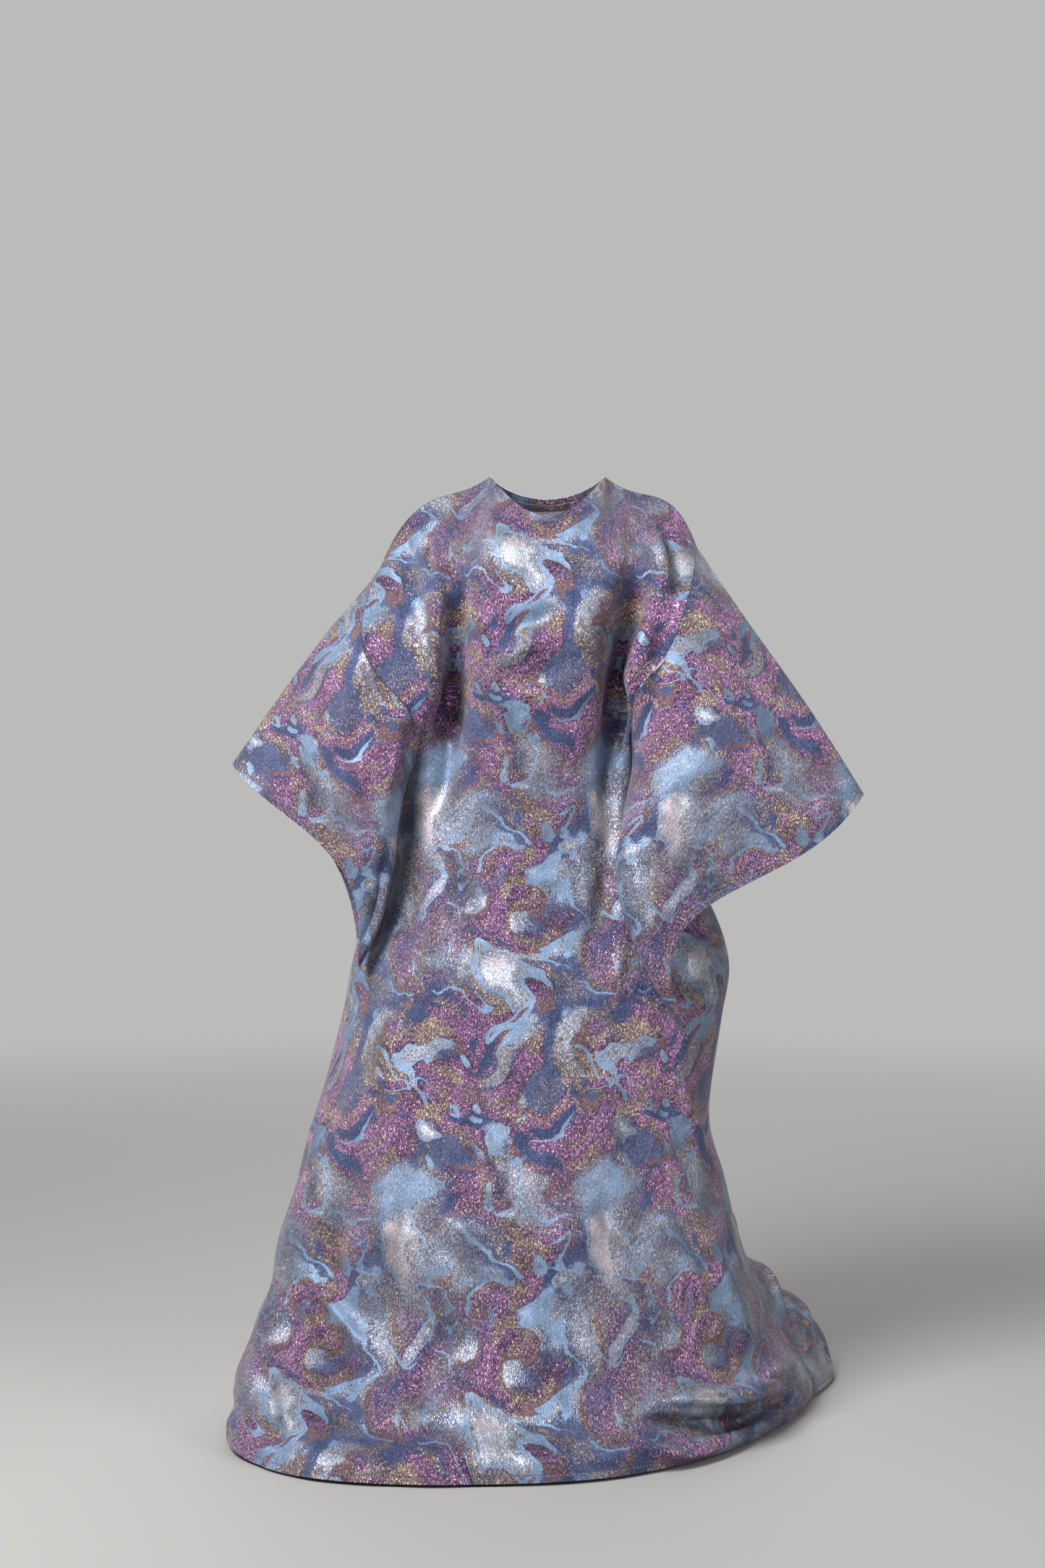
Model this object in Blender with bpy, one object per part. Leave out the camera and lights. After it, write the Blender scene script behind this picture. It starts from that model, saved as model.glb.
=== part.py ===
"""A floor-length kaftan with wide sleeves, in the hollow form that it has when worn.

Each panel is a thin wall of stiff brocade. The front and the back are sewn together at the
shoulders and down the sides, and a wide sleeve of two halves hangs from each armhole.
Lengths are in metres. X runs from the left sleeve to the right one as seen from the front,
-Y is the front, +Z is up, and the origin lies between the shoulders that carry the cloth.
Heights in the tables are taken from the floor.
"""
import bpy
import numpy as np

WALL = 0.0014
SEAM_GAP = 0.0003
NARROWEST_OPENING = 0.15
BALANCE_STEPS = 40
BALANCE_SHARE = 0.1
SHARP_EDGE = 50
CARRIED_HEIGHT = 1.36

SLEEVE_STATIONS = 13
ARMHOLE_ROWS = 12
SKIRT_ROWS = 22
PANEL_COLUMNS = 38

CLOTH_ROUGHNESS = 0.45
CLOTH_SHEEN = 0.35
CLOTH = {
    "front_panel": (0.36, 0.44, 0.66),
    "back_panel": (0.33, 0.40, 0.62),
    "right_sleeve_front": (0.46, 0.40, 0.60),
    "right_sleeve_back": (0.40, 0.36, 0.56),
    "left_sleeve_front": (0.44, 0.42, 0.62),
    "left_sleeve_back": (0.38, 0.38, 0.58),
}


def table(columns, rows):
    """The named columns of a short table, one row for each section."""
    return {name: np.array(values, float) for name, values in zip(columns.split(), zip(*rows))}


def smooth(knots, values, at):
    """A smooth curve through the values at rising knots, read at other places."""
    knots = np.asarray(knots, float)
    values = np.asarray(values, float)
    at = np.asarray(at, float)
    gaps = np.diff(knots)
    rises = np.diff(values, axis=0) / gaps.reshape(-1, *[1] * (values.ndim - 1))
    slopes = np.empty_like(values)
    slopes[0] = rises[0]
    slopes[-1] = rises[-1]
    share = (gaps[:-1] / (gaps[:-1] + gaps[1:])).reshape(-1, *[1] * (values.ndim - 1))
    slopes[1:-1] = rises[:-1] * (1 - share) + rises[1:] * share
    cell = np.clip(np.searchsorted(knots, at, side="right") - 1, 0, len(gaps) - 1)
    shape = (-1, *[1] * (values.ndim - 1))
    gap = gaps[cell].reshape(shape)
    u = (at - knots[cell]).reshape(shape) / gap
    return (
        values[cell] * (1 + 2 * u) * (1 - u) ** 2
        + slopes[cell] * gap * u * (1 - u) ** 2
        + values[cell + 1] * u * u * (3 - 2 * u)
        + slopes[cell + 1] * gap * u * u * (u - 1)
    )


# Sleeves
# Each row is one ring round the arm, from the armhole to the cuff. The top is the overarm
# seam and the low point is the underarm seam. The middle is bowed, and the front and back
# halves stand off it by their depths.
SLEEVE_COLUMNS = (
    "station top_x top_y top_z low_x low_y low_z bow_x bow_y bow_z front_depth back_depth"
)
RIGHT_SLEEVE = table(SLEEVE_COLUMNS, [
    (0.00, 0.227, -0.005, 1.279, 0.126, -0.040, 0.962, 0.004, 0.000, 0.000, 0.080, 0.100),
    (0.08, 0.246, -0.008, 1.251, 0.125, -0.064, 0.938, 0.008, -0.002, -0.001, 0.076, 0.090),
    (0.16, 0.266, -0.011, 1.221, 0.118, -0.092, 0.910, 0.012, -0.003, -0.002, 0.070, 0.078),
    (0.30, 0.300, -0.018, 1.170, 0.108, -0.130, 0.866, 0.020, -0.006, -0.005, 0.060, 0.064),
    (0.65, 0.386, -0.040, 1.044, 0.104, -0.174, 0.745, 0.000, -0.010, 0.006, 0.044, 0.044),
    (0.85, 0.434, -0.052, 0.968, 0.146, -0.191, 0.640, -0.055, -0.008, 0.030, 0.038, 0.030),
    (1.00, 0.472, -0.060, 0.905, 0.197, -0.191, 0.551, -0.088, -0.006, 0.050, 0.034, 0.030),
])
LEFT_SLEEVE = table(SLEEVE_COLUMNS, [
    (0.00, -0.253, -0.005, 1.249, -0.190, -0.040, 0.962, -0.042, 0.000, 0.000, 0.074, 0.098),
    (0.08, -0.268, -0.008, 1.227, -0.203, -0.062, 0.938, -0.038, -0.001, -0.001, 0.072, 0.088),
    (0.16, -0.287, -0.011, 1.204, -0.211, -0.086, 0.912, -0.038, -0.002, -0.002, 0.068, 0.076),
    (0.30, -0.320, -0.018, 1.165, -0.218, -0.112, 0.870, -0.030, -0.004, -0.004, 0.060, 0.064),
    (0.65, -0.398, -0.038, 1.058, -0.227, -0.132, 0.790, 0.000, -0.008, 0.004, 0.046, 0.050),
    (0.85, -0.440, -0.050, 0.996, -0.246, -0.126, 0.712, 0.034, -0.006, 0.018, 0.040, 0.044),
    (1.00, -0.4705, -0.060, 0.9505, -0.276, -0.118, 0.651, 0.052, -0.004, 0.022, 0.034, 0.038),
])
# Where the sleeves are sewn to the body. On the front the seam runs down the face of the
# fold beside the chest, over it, and back to the underarm.
ARMHOLE_COLUMNS = "down front_x front_y front_z back_x back_y back_z"
RIGHT_ARMHOLE = table(ARMHOLE_COLUMNS, [
    (0.00, 0.227, -0.005, 1.279, 0.227, -0.005, 1.279),
    (0.12, 0.220, -0.060, 1.245, 0.227, 0.048, 1.245),
    (0.30, 0.206, -0.100, 1.190, 0.219, 0.078, 1.185),
    (0.50, 0.182, -0.124, 1.128, 0.205, 0.088, 1.115),
    (0.68, 0.148, -0.129, 1.080, 0.187, 0.082, 1.055),
    (0.82, 0.126, -0.117, 1.034, 0.166, 0.056, 1.014),
    (0.90, 0.123, -0.092, 1.003, 0.151, 0.022, 0.994),
    (0.95, 0.124, -0.068, 0.984, 0.139, -0.006, 0.979),
    (1.00, 0.126, -0.040, 0.962, 0.126, -0.040, 0.962),
])
LEFT_ARMHOLE = table(ARMHOLE_COLUMNS, [
    (0.00, -0.253, -0.005, 1.249, -0.253, -0.005, 1.249),
    (0.12, -0.264, -0.056, 1.215, -0.262, 0.046, 1.215),
    (0.30, -0.275, -0.096, 1.160, -0.268, 0.076, 1.160),
    (0.50, -0.266, -0.115, 1.105, -0.262, 0.086, 1.098),
    (0.68, -0.236, -0.121, 1.064, -0.245, 0.078, 1.048),
    (0.82, -0.206, -0.112, 1.030, -0.226, 0.052, 1.012),
    (0.90, -0.196, -0.090, 1.003, -0.212, 0.020, 0.994),
    (0.95, -0.192, -0.067, 0.984, -0.202, -0.007, 0.979),
    (1.00, -0.190, -0.040, 0.962, -0.190, -0.040, 0.962),
])
# How far down the ring its bow is deepest, at the armhole and at each cuff, and how much
# sharper the bow is at the cuff.
ARMHOLE_PEAK = 0.5
CUFF_PEAK = {-1: 0.6, 1: 0.69}
CUFF_SHARPENING = 0.3
ARMHOLE_FADE = 0.34
EVEN_SHARE = 0.4


def armhole_shares():
    """How far down the sleeve each ring point lies, close together at the two seams."""
    even = np.linspace(0, 1, ARMHOLE_ROWS + 1)
    return EVEN_SHARE * even + (1 - EVEN_SHARE) * (1 - np.cos(np.pi * even)) / 2


def armhole_edge(side, facing, down):
    """Points of one armhole seam, from the overarm (0) to the underarm (1)."""
    seam = RIGHT_ARMHOLE if side > 0 else LEFT_ARMHOLE
    label = "front_" if facing < 0 else "back_"
    return smooth(seam["down"], np.stack([seam[label + axis] for axis in "xyz"], axis=-1), down)


def sleeve_half(side, facing, stations, down):
    """Points of the front (facing -1) or back (facing 1) of a sleeve, station by station."""
    rings = RIGHT_SLEEVE if side > 0 else LEFT_SLEEVE

    def read(name, at=stations):
        return smooth(rings["station"], rings[name], at)[:, None]

    def ring(at):
        full = 4 * down * (1 - down)
        peak = ARMHOLE_PEAK + (CUFF_PEAK[side] - ARMHOLE_PEAK) * at[:, None]
        skewed = down ** (np.log(ARMHOLE_PEAK) / np.log(peak))
        bow = (4 * skewed * (1 - skewed)) ** (1 + CUFF_SHARPENING * at[:, None])
        depth = read("front_depth", at) if facing < 0 else read("back_depth", at)
        points = [
            read("top_" + axis, at) * (1 - down)
            + read("low_" + axis, at) * down
            + read("bow_" + axis, at) * bow
            for axis in "xyz"
        ]
        points[1] = points[1] + facing * depth * np.sqrt(full)
        return np.stack(points, axis=-1)

    to_seam = armhole_edge(side, facing, down) - ring(np.array([0.0]))[0]
    fade = np.clip(1 - stations / ARMHOLE_FADE, 0, 1) ** 2
    return ring(stations) + to_seam * fade[:, None, None]


# Body
# Across a panel t runs from -1 at the left seam to 1 at the right seam.
HALF_KNOTS = [0.0, 0.42, 0.56, 0.65, 0.76, 0.88, 1.0]
ACROSS_KNOTS = np.array([-knot for knot in HALF_KNOTS[:0:-1]] + HALF_KNOTS)
VALLEY_WIDTH = 0.017
COLUMN_PLACES = ([0, 0.30, 0.78, 1.0], [0, 0.36, 0.72, 1.0])
SKIRT_ROW_PLACES = ([0, 0.6, 1.0], [0, 0.8, 1.0])
SEAM_BLEND = 0.30
NECK_BLEND = 0.10
NECK_SHARE = 0.42
NECK_SIDE = (0.088, 0.010, 1.388)
NECK_FRONT_Y = -0.088
NECK_FRONT_Z = 1.318
NECK_BACK_Y = 0.078
NECK_BACK_Z = 1.362
SHOULDER_CROWN = {-1: 0.068, 1: 0.070}
SHOULDER_FULLNESS = {-1: 2.0, 1: 2.5}

# Sections of the chest above the underarms, top to bottom. The flank is where the chest
# starts to turn, the valley lies between chest and sleeve, the ridge is the fold over it, and
# the dent lies between that fold and the seam.
CHEST_PLACES = (
    ("flank", 0.15, 0.0),
    ("valley", 0.35, -0.5),
    ("valley", 0.50, 0.5),
    ("ridge", 0.65, 0.0),
    ("dent", 0.82, 0.0),
)
CHEST_COLUMNS = (
    "share z front_y "
    "right_flank_x right_flank_y right_valley_x right_valley_y "
    "right_ridge_x right_ridge_y right_dent_x right_dent_y "
    "left_flank_x left_flank_y left_valley_x left_valley_y "
    "left_ridge_x left_ridge_y left_dent_x left_dent_y"
)
CHEST = table(CHEST_COLUMNS, [
    (0.18, 1.262, -0.118, 0.098, -0.106, 0.135, -0.088, 0.167, -0.084, 0.192, -0.066,
     -0.104, -0.104, -0.146, -0.086, -0.184, -0.082, -0.216, -0.058),
    (0.38, 1.196, -0.134, 0.094, -0.116, 0.126, -0.082, 0.158, -0.108, 0.182, -0.104,
     -0.106, -0.116, -0.138, -0.086, -0.168, -0.110, -0.204, -0.094),
    (0.58, 1.130, -0.142, 0.088, -0.108, 0.112, -0.054, 0.130, -0.116, 0.158, -0.122,
     -0.110, -0.112, -0.136, -0.064, -0.164, -0.122, -0.202, -0.104),
    (0.76, 1.060, -0.140, 0.082, -0.102, 0.099, -0.056, 0.106, -0.100, 0.120, -0.121,
     -0.116, -0.106, -0.144, -0.062, -0.164, -0.100, -0.190, -0.114),
    (0.92, 0.995, -0.132, 0.075, -0.101, 0.091, -0.076, 0.107, -0.077, 0.115, -0.083,
     -0.120, -0.102, -0.146, -0.078, -0.168, -0.078, -0.180, -0.081),
])
BACK_PLACES = (("flank", 0.2), ("valley", 0.6))
BACK_KNOTS = (0.0, 0.42, 0.72, 1.0)
UPPER_BACK_COLUMNS = (
    "share z back_y right_flank_x right_flank_y right_valley_x right_valley_y "
    "left_flank_x left_flank_y left_valley_x left_valley_y"
)
UPPER_BACK = table(UPPER_BACK_COLUMNS, [
    (0.18, 1.300, 0.104, 0.098, 0.094, 0.150, 0.078, -0.104, 0.094, -0.160, 0.076),
    (0.38, 1.232, 0.122, 0.098, 0.116, 0.150, 0.094, -0.108, 0.116, -0.168, 0.092),
    (0.58, 1.156, 0.128, 0.100, 0.122, 0.142, 0.088, -0.112, 0.122, -0.168, 0.086),
    (0.76, 1.074, 0.126, 0.100, 0.116, 0.138, 0.078, -0.114, 0.116, -0.166, 0.078),
    (0.92, 1.004, 0.120, 0.096, 0.106, 0.128, 0.060, -0.120, 0.106, -0.168, 0.060),
])

# Rings of the body below the underarms. A roundness of 2 is an ellipse, more is squarer.
SKIRT_COLUMNS = "z left right front back side_y front_round back_round train"
SKIRT = table(SKIRT_COLUMNS, [
    (0.962, -0.190, 0.126, -0.129, 0.118, -0.040, 1.7, 2.4, 0.000),
    (0.925, -0.194, 0.121, -0.127, 0.118, -0.026, 1.7, 2.3, 0.000),
    (0.885, -0.212, 0.132, -0.126, 0.120, -0.010, 1.7, 2.2, 0.000),
    (0.845, -0.240, 0.166, -0.130, 0.124, 0.004, 1.8, 2.2, 0.000),
    (0.795, -0.256, 0.212, -0.138, 0.130, 0.008, 2.0, 2.2, 0.000),
    (0.730, -0.275, 0.252, -0.155, 0.140, 0.006, 2.2, 2.2, 0.000),
    (0.650, -0.296, 0.276, -0.176, 0.152, 0.004, 2.3, 2.2, 0.000),
    (0.570, -0.311, 0.265, -0.200, 0.164, 0.000, 2.4, 2.2, 0.000),
    (0.490, -0.331, 0.251, -0.226, 0.175, -0.006, 2.4, 2.2, 0.000),
    (0.410, -0.350, 0.245, -0.253, 0.186, -0.014, 2.4, 2.2, 0.000),
    (0.330, -0.364, 0.266, -0.280, 0.198, -0.022, 2.5, 2.2, 0.000),
    (0.250, -0.384, 0.286, -0.309, 0.214, -0.030, 2.5, 2.2, 0.008),
    (0.175, -0.390, 0.312, -0.336, 0.240, -0.040, 2.5, 2.2, 0.040),
    (0.115, -0.396, 0.340, -0.362, 0.286, -0.050, 2.5, 2.2, 0.108),
    (0.066, -0.412, 0.366, -0.396, 0.336, -0.056, 2.5, 2.2, 0.148),
    (0.026, -0.424, 0.384, -0.436, 0.376, -0.060, 2.5, 2.2, 0.140),
])
TRAIN_T = 0.74
TRAIN_SPREAD = 0.17
TRAIN_TURN = 0.42
HEM_PULL = 0.90
HEM_REACH = 0.19
HEM_RISE = 0.0045
HEM_COLUMNS = "t x y"
FRONT_HEM = table(HEM_COLUMNS, [
    (-1.00, -0.438, -0.060),
    (-0.80, -0.445, -0.235),
    (-0.62, -0.409, -0.378),
    (-0.45, -0.340, -0.448),
    (-0.15, -0.150, -0.474),
    (0.12, 0.050, -0.480),
    (0.32, 0.148, -0.424),
    (0.58, 0.268, -0.305),
    (0.80, 0.352, -0.178),
    (1.00, 0.398, -0.050),
])
BACK_HEM = table(HEM_COLUMNS, [
    (-1.00, -0.438, -0.060),
    (-0.78, -0.410, 0.130),
    (-0.50, -0.310, 0.290),
    (-0.20, -0.140, 0.384),
    (0.15, 0.070, 0.408),
    (0.45, 0.285, 0.335),
    (0.68, 0.425, 0.205),
    (0.86, 0.446, 0.070),
    (1.00, 0.398, -0.050),
])

# The largest folds, as soft ridges (height above 0) and troughs (below 0) along a straight
# run over the panel. Down is the distance from the neck edge.
FOLD_COLUMNS = "start_t start_down end_t end_down width height"
FRONT_FOLDS = table(FOLD_COLUMNS, [
    (-0.62, 0.92, -0.80, 1.40, 0.075, 0.030),
    (-0.50, 1.14, -0.30, 1.34, 0.060, -0.024),
    (0.32, 1.33, 0.84, 1.345, 0.030, 0.018),
    (0.36, 1.385, 0.74, 1.392, 0.024, -0.024),
    (-0.12, 0.98, 0.02, 1.24, 0.050, 0.014),
    (0.10, 1.02, 0.24, 1.22, 0.045, 0.012),
    (-0.30, 0.62, -0.42, 0.90, 0.060, 0.012),
])
BACK_FOLDS = table(FOLD_COLUMNS, [
    (-0.46, 0.30, -0.62, 1.30, 0.060, 0.022),
    (-0.18, 0.45, -0.26, 1.36, 0.055, 0.018),
    (0.16, 0.40, 0.22, 1.34, 0.055, 0.022),
    (0.50, 0.32, 0.60, 1.28, 0.060, 0.020),
    (0.34, 0.80, 0.42, 1.36, 0.050, -0.016),
    (-0.04, 0.90, -0.02, 1.38, 0.050, -0.014),
])
FOLD_SPAN = 0.34
FOLD_SIDE_FADE = 0.12
FOLD_TOP_FADE = 0.10
FOLD_HEM_FADE = 0.06
FOLD_END_HEIGHT = 0.55


def ring_points(row, facing, t):
    """Half of one body ring: facing -1 is the front half and 1 the back half."""
    ring = {name: SKIRT[name][row] for name in SKIRT}
    middle = (ring["left"] + ring["right"]) / 2
    half = (ring["right"] - ring["left"]) / 2
    end_y = ring["front"] if facing < 0 else ring["back"]
    power = ring["front_round"] if facing < 0 else ring["back_round"]
    turn = np.asarray(t) * np.pi / 2
    x = middle + half * np.sign(turn) * np.abs(np.sin(turn)) ** (2 / power)
    y = ring["side_y"] + (end_y - ring["side_y"]) * np.abs(np.cos(turn)) ** (2 / power)
    if facing > 0:
        lobe = ring["train"] * np.exp(-(((t - TRAIN_T) / TRAIN_SPREAD) ** 2)) * np.cos(turn) ** 0.5
        x = x + lobe * np.cos(TRAIN_TURN)
        y = y + lobe * np.sin(TRAIN_TURN)
    return np.stack([x, y, np.full_like(x, ring["z"])], axis=-1)


def top_edge(facing, t):
    """The shoulder seams with the round neck between them."""
    neck_y = NECK_FRONT_Y if facing < 0 else NECK_BACK_Y
    neck_z = NECK_FRONT_Z if facing < 0 else NECK_BACK_Z
    side_x, side_y, side_z = NECK_SIDE
    points = []
    for place in np.atleast_1d(t):
        side = 1 if place > 0 else -1
        if abs(place) >= NECK_SHARE:
            along = (abs(place) - NECK_SHARE) / (1 - NECK_SHARE)
            start = np.array([side * side_x, side_y, side_z])
            end = armhole_edge(side, facing, np.array([0.0]))[0]
            crown = SHOULDER_CROWN[side] * 4 * along ** SHOULDER_FULLNESS[side] * (1 - along)
            points.append(start * (1 - along) + end * along + np.array([0, 0, crown]))
        else:
            turn = place / NECK_SHARE * np.pi / 2
            round_in = np.cos(turn)
            points.append([
                side_x * np.sin(turn),
                side_y + (neck_y - side_y) * round_in,
                side_z + (neck_z - side_z) * round_in ** 2,
            ])
    return np.array(points)


def chest_section(row):
    """The points of one front section above the underarms, from left seam to right seam."""
    share = CHEST["share"][row]
    z = CHEST["z"][row]
    points = []
    for side, label in ((-1, "left_"), (1, "right_")):
        edge = armhole_edge(side, -1, np.array([share]))[0]
        half = []
        for name, fall, widen in CHEST_PLACES:
            x = CHEST[label + name + "_x"][row] + side * widen * VALLEY_WIDTH
            half.append((x, CHEST[label + name + "_y"][row], z + (edge[2] - z) * fall))
        half.append(edge)
        points += half[::-1] if side < 0 else [(0.0, CHEST["front_y"][row], z), *half]
    return np.array(points)


def upper_back_section(row):
    """The points of one back section above the underarms, from left seam to right seam."""
    share = UPPER_BACK["share"][row]
    z = UPPER_BACK["z"][row]
    halves = []
    for side, label in ((-1, "left_"), (1, "right_")):
        edge = armhole_edge(side, 1, np.array([share]))[0]
        half = [(0.0, UPPER_BACK["back_y"][row], z)]
        for name, fall in BACK_PLACES:
            x = UPPER_BACK[label + name + "_x"][row]
            half.append((x, UPPER_BACK[label + name + "_y"][row], z + (edge[2] - z) * fall))
        half.append(edge)
        halves.append(smooth(BACK_KNOTS, np.array(half), HALF_KNOTS))
    return np.concatenate([halves[0][:0:-1], halves[1]])


def sections(facing):
    """All sections of a body panel, from the neck edge to the hem."""
    upper = chest_section if facing < 0 else upper_back_section
    upper_rows = len(CHEST["share"])
    hem = FRONT_HEM if facing < 0 else BACK_HEM
    hem_xy = smooth(hem["t"], np.stack([hem["x"], hem["y"]], axis=-1), ACROSS_KNOTS)
    rows = [top_edge(facing, ACROSS_KNOTS)]
    rows += [upper(row) for row in range(upper_rows)]
    rings = [ring_points(row, facing, ACROSS_KNOTS) for row in range(len(SKIRT["z"]))]
    pull = hem_xy - rings[-1][:, :2]
    for ring in rings:
        ring[:, :2] += pull * HEM_PULL * ease(1 - ring[0, 2] / HEM_REACH)
        rows.append(ring)
    rows.append(np.column_stack([hem_xy, np.full(len(ACROSS_KNOTS), HEM_RISE)]))
    return np.array(rows)


def row_places():
    """Where each section lies down the cloth, measured along the middle of the front."""
    middle = sections(-1)[:, len(ACROSS_KNOTS) // 2]
    steps = np.linalg.norm(np.diff(middle, axis=0), axis=1)
    return np.concatenate([[0], np.cumsum(steps)])


def across_places():
    """Columns of a body panel, closer together in the valleys beside the sleeves."""
    spread = smooth(*COLUMN_PLACES, np.linspace(0, 1, PANEL_COLUMNS // 2 + 1))
    return np.concatenate([-spread[:0:-1], spread])


def fold_relief(folds, t, down):
    """Height of the ridges and troughs at each point of a panel."""
    relief = np.zeros((len(down), len(t)))
    across, along = np.meshgrid(t * FOLD_SPAN, down)
    for start_t, start_down, end_t, end_down, width, height in zip(*folds.values()):
        run = np.array([(end_t - start_t) * FOLD_SPAN, end_down - start_down])
        length = np.linalg.norm(run)
        part = ((across - start_t * FOLD_SPAN) * run[0] + (along - start_down) * run[1]) / length ** 2
        inside = np.clip(part, 0, 1)
        away = np.hypot(
            across - start_t * FOLD_SPAN - inside * run[0],
            along - start_down - inside * run[1],
        )
        swell = FOLD_END_HEIGHT + (1 - FOLD_END_HEIGHT) * np.sin(np.pi * inside)
        relief += height * swell * np.exp(-((away / width) ** 2))
    return relief


def grid_normals(grid):
    """Unit normals of a grid of points, out of the side seen with rows down and columns right."""
    down = np.gradient(grid, axis=0)
    right = np.gradient(grid, axis=1)
    normals = np.cross(right, -down)
    return normals / np.linalg.norm(normals, axis=-1, keepdims=True)


def ease(share):
    """A smooth step from 0 to 1."""
    share = np.clip(share, 0, 1)
    return share * share * (3 - 2 * share)


def body_panel(facing):
    """Outer points of the front (facing -1) or back (facing 1) panel, row by row."""
    places = row_places()
    underarm = places[1 + len(CHEST["share"])]
    chest_down = smooth(
        np.concatenate([[0], CHEST["share"], [1]]), places[: len(CHEST["share"]) + 2], armhole_shares()
    )
    even = np.linspace(0, 1, SKIRT_ROWS + 1)[1:]
    skirt_down = underarm + (places[-1] - underarm) * smooth(*SKIRT_ROW_PLACES, even)
    down = np.concatenate([chest_down, skirt_down])
    t = across_places()
    knots = sections(facing)
    grid = smooth(places, knots, down)
    grid = smooth(ACROSS_KNOTS, grid.swapaxes(0, 1), t).swapaxes(0, 1)

    # The edges that are sewn to other panels follow the same curves as those panels do.
    first_skirt = 1 + len(CHEST["share"])
    side_knots = knots[first_skirt:, [0, -1]]
    sides = smooth(places[first_skirt:], side_knots, skirt_down)
    for side, column in ((-1, 0), (1, -1)):
        edge = armhole_edge(side, facing, armhole_shares())
        seam = np.concatenate([edge, sides[:, 0 if side < 0 else 1]])
        shift = (seam - grid[:, column])[:, None, :]
        grid += shift * ease((side * t - 1) / SEAM_BLEND + 1)[None, :, None]
    shift = (top_edge(facing, t) - grid[0])[None]
    grid += shift * ease(1 - down / NECK_BLEND)[:, None, None]

    relief = fold_relief(FRONT_FOLDS if facing < 0 else BACK_FOLDS, t, down)
    relief *= ease((1 - np.abs(t)) / FOLD_SIDE_FADE)[None, :]
    relief *= (ease(down / FOLD_TOP_FADE) * ease((places[-1] - down) / FOLD_HEM_FADE))[:, None]
    grid += grid_normals(grid) * relief[..., None] * -facing
    grid[..., 2] = np.maximum(grid[..., 2], HEM_RISE)
    return grid


def panels():
    """Outer points of every panel, with its outside facing away from the wearer."""
    stations = np.linspace(0, 1, SLEEVE_STATIONS)
    down = armhole_shares()
    grids = {
        "front_panel": body_panel(-1),
        "back_panel": body_panel(1)[:, ::-1],
        "right_sleeve_front": sleeve_half(1, -1, stations, down).swapaxes(0, 1),
        "right_sleeve_back": sleeve_half(1, 1, stations, down).swapaxes(0, 1)[:, ::-1],
        "left_sleeve_front": sleeve_half(-1, -1, stations, down).swapaxes(0, 1)[:, ::-1],
        "left_sleeve_back": sleeve_half(-1, 1, stations, down).swapaxes(0, 1),
    }
    return grids


def shared_normals(grids):
    """Normals of every panel, the same on both sides of each seam and facing out of all."""
    normals = {name: grid_normals(grid) for name, grid in grids.items()}
    meeting = {}
    for name, grid in grids.items():
        for point, normal in zip(grid.reshape(-1, 3), normals[name].reshape(-1, 3)):
            meeting.setdefault(tuple(np.round(point, 5)), []).append(normal)
    joined = {}
    for key, group in meeting.items():
        group = np.array(group)
        mean = group.sum(axis=0)
        for _ in range(BALANCE_STEPS if len(group) > 1 else 0):
            mean /= np.linalg.norm(mean)
            mean += BALANCE_SHARE * group[np.argmin(group @ mean)]
        joined[key] = mean / np.linalg.norm(mean)
    shared = {}
    for name, grid in grids.items():
        points = grid.reshape(-1, 3)
        shared[name] = np.array([joined[tuple(np.round(point, 5))] for point in points]).reshape(grid.shape)
    return shared


def edge_directions(grid):
    """Unit directions into a panel, square to its edges, at the points on its four edges."""
    into = np.zeros_like(grid)
    for turned, result in ((grid, into), (grid.swapaxes(0, 1), into.swapaxes(0, 1))):
        for edge, inner in ((0, 1), (-1, -2)):
            along = np.gradient(turned[edge], axis=0)
            along /= np.linalg.norm(along, axis=-1, keepdims=True)
            step = turned[inner] - turned[edge]
            step -= along * np.sum(step * along, axis=-1, keepdims=True)
            result[edge] += step / np.linalg.norm(step, axis=-1, keepdims=True)
    return into / np.maximum(np.linalg.norm(into, axis=-1, keepdims=True), 1e-9)


def seam_shifts(grids):
    """How far each edge point draws back, further where the panels meet at a narrow angle."""
    directions = {name: edge_directions(grid) for name, grid in grids.items()}
    sums = {}
    for name, grid in grids.items():
        for point, direction in zip(grid.reshape(-1, 3), directions[name].reshape(-1, 3)):
            key = tuple(np.round(point, 5))
            sums[key] = sums.get(key, 0) + direction
    shifts = {}
    for name, grid in grids.items():
        own = directions[name].reshape(-1, 3)
        others = np.array([sums[tuple(np.round(point, 5))] for point in grid.reshape(-1, 3)]) - own
        length = np.linalg.norm(others, axis=1)
        likeness = np.where(length > 0.1, np.sum(own * others, axis=1) / np.maximum(length, 0.1), -1)
        opening = np.sqrt(np.clip((1 - likeness) / 2, NARROWEST_OPENING ** 2, 1))
        shifts[name] = (own / opening[:, None]).reshape(grid.shape) * SEAM_GAP / 2
    return shifts


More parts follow.
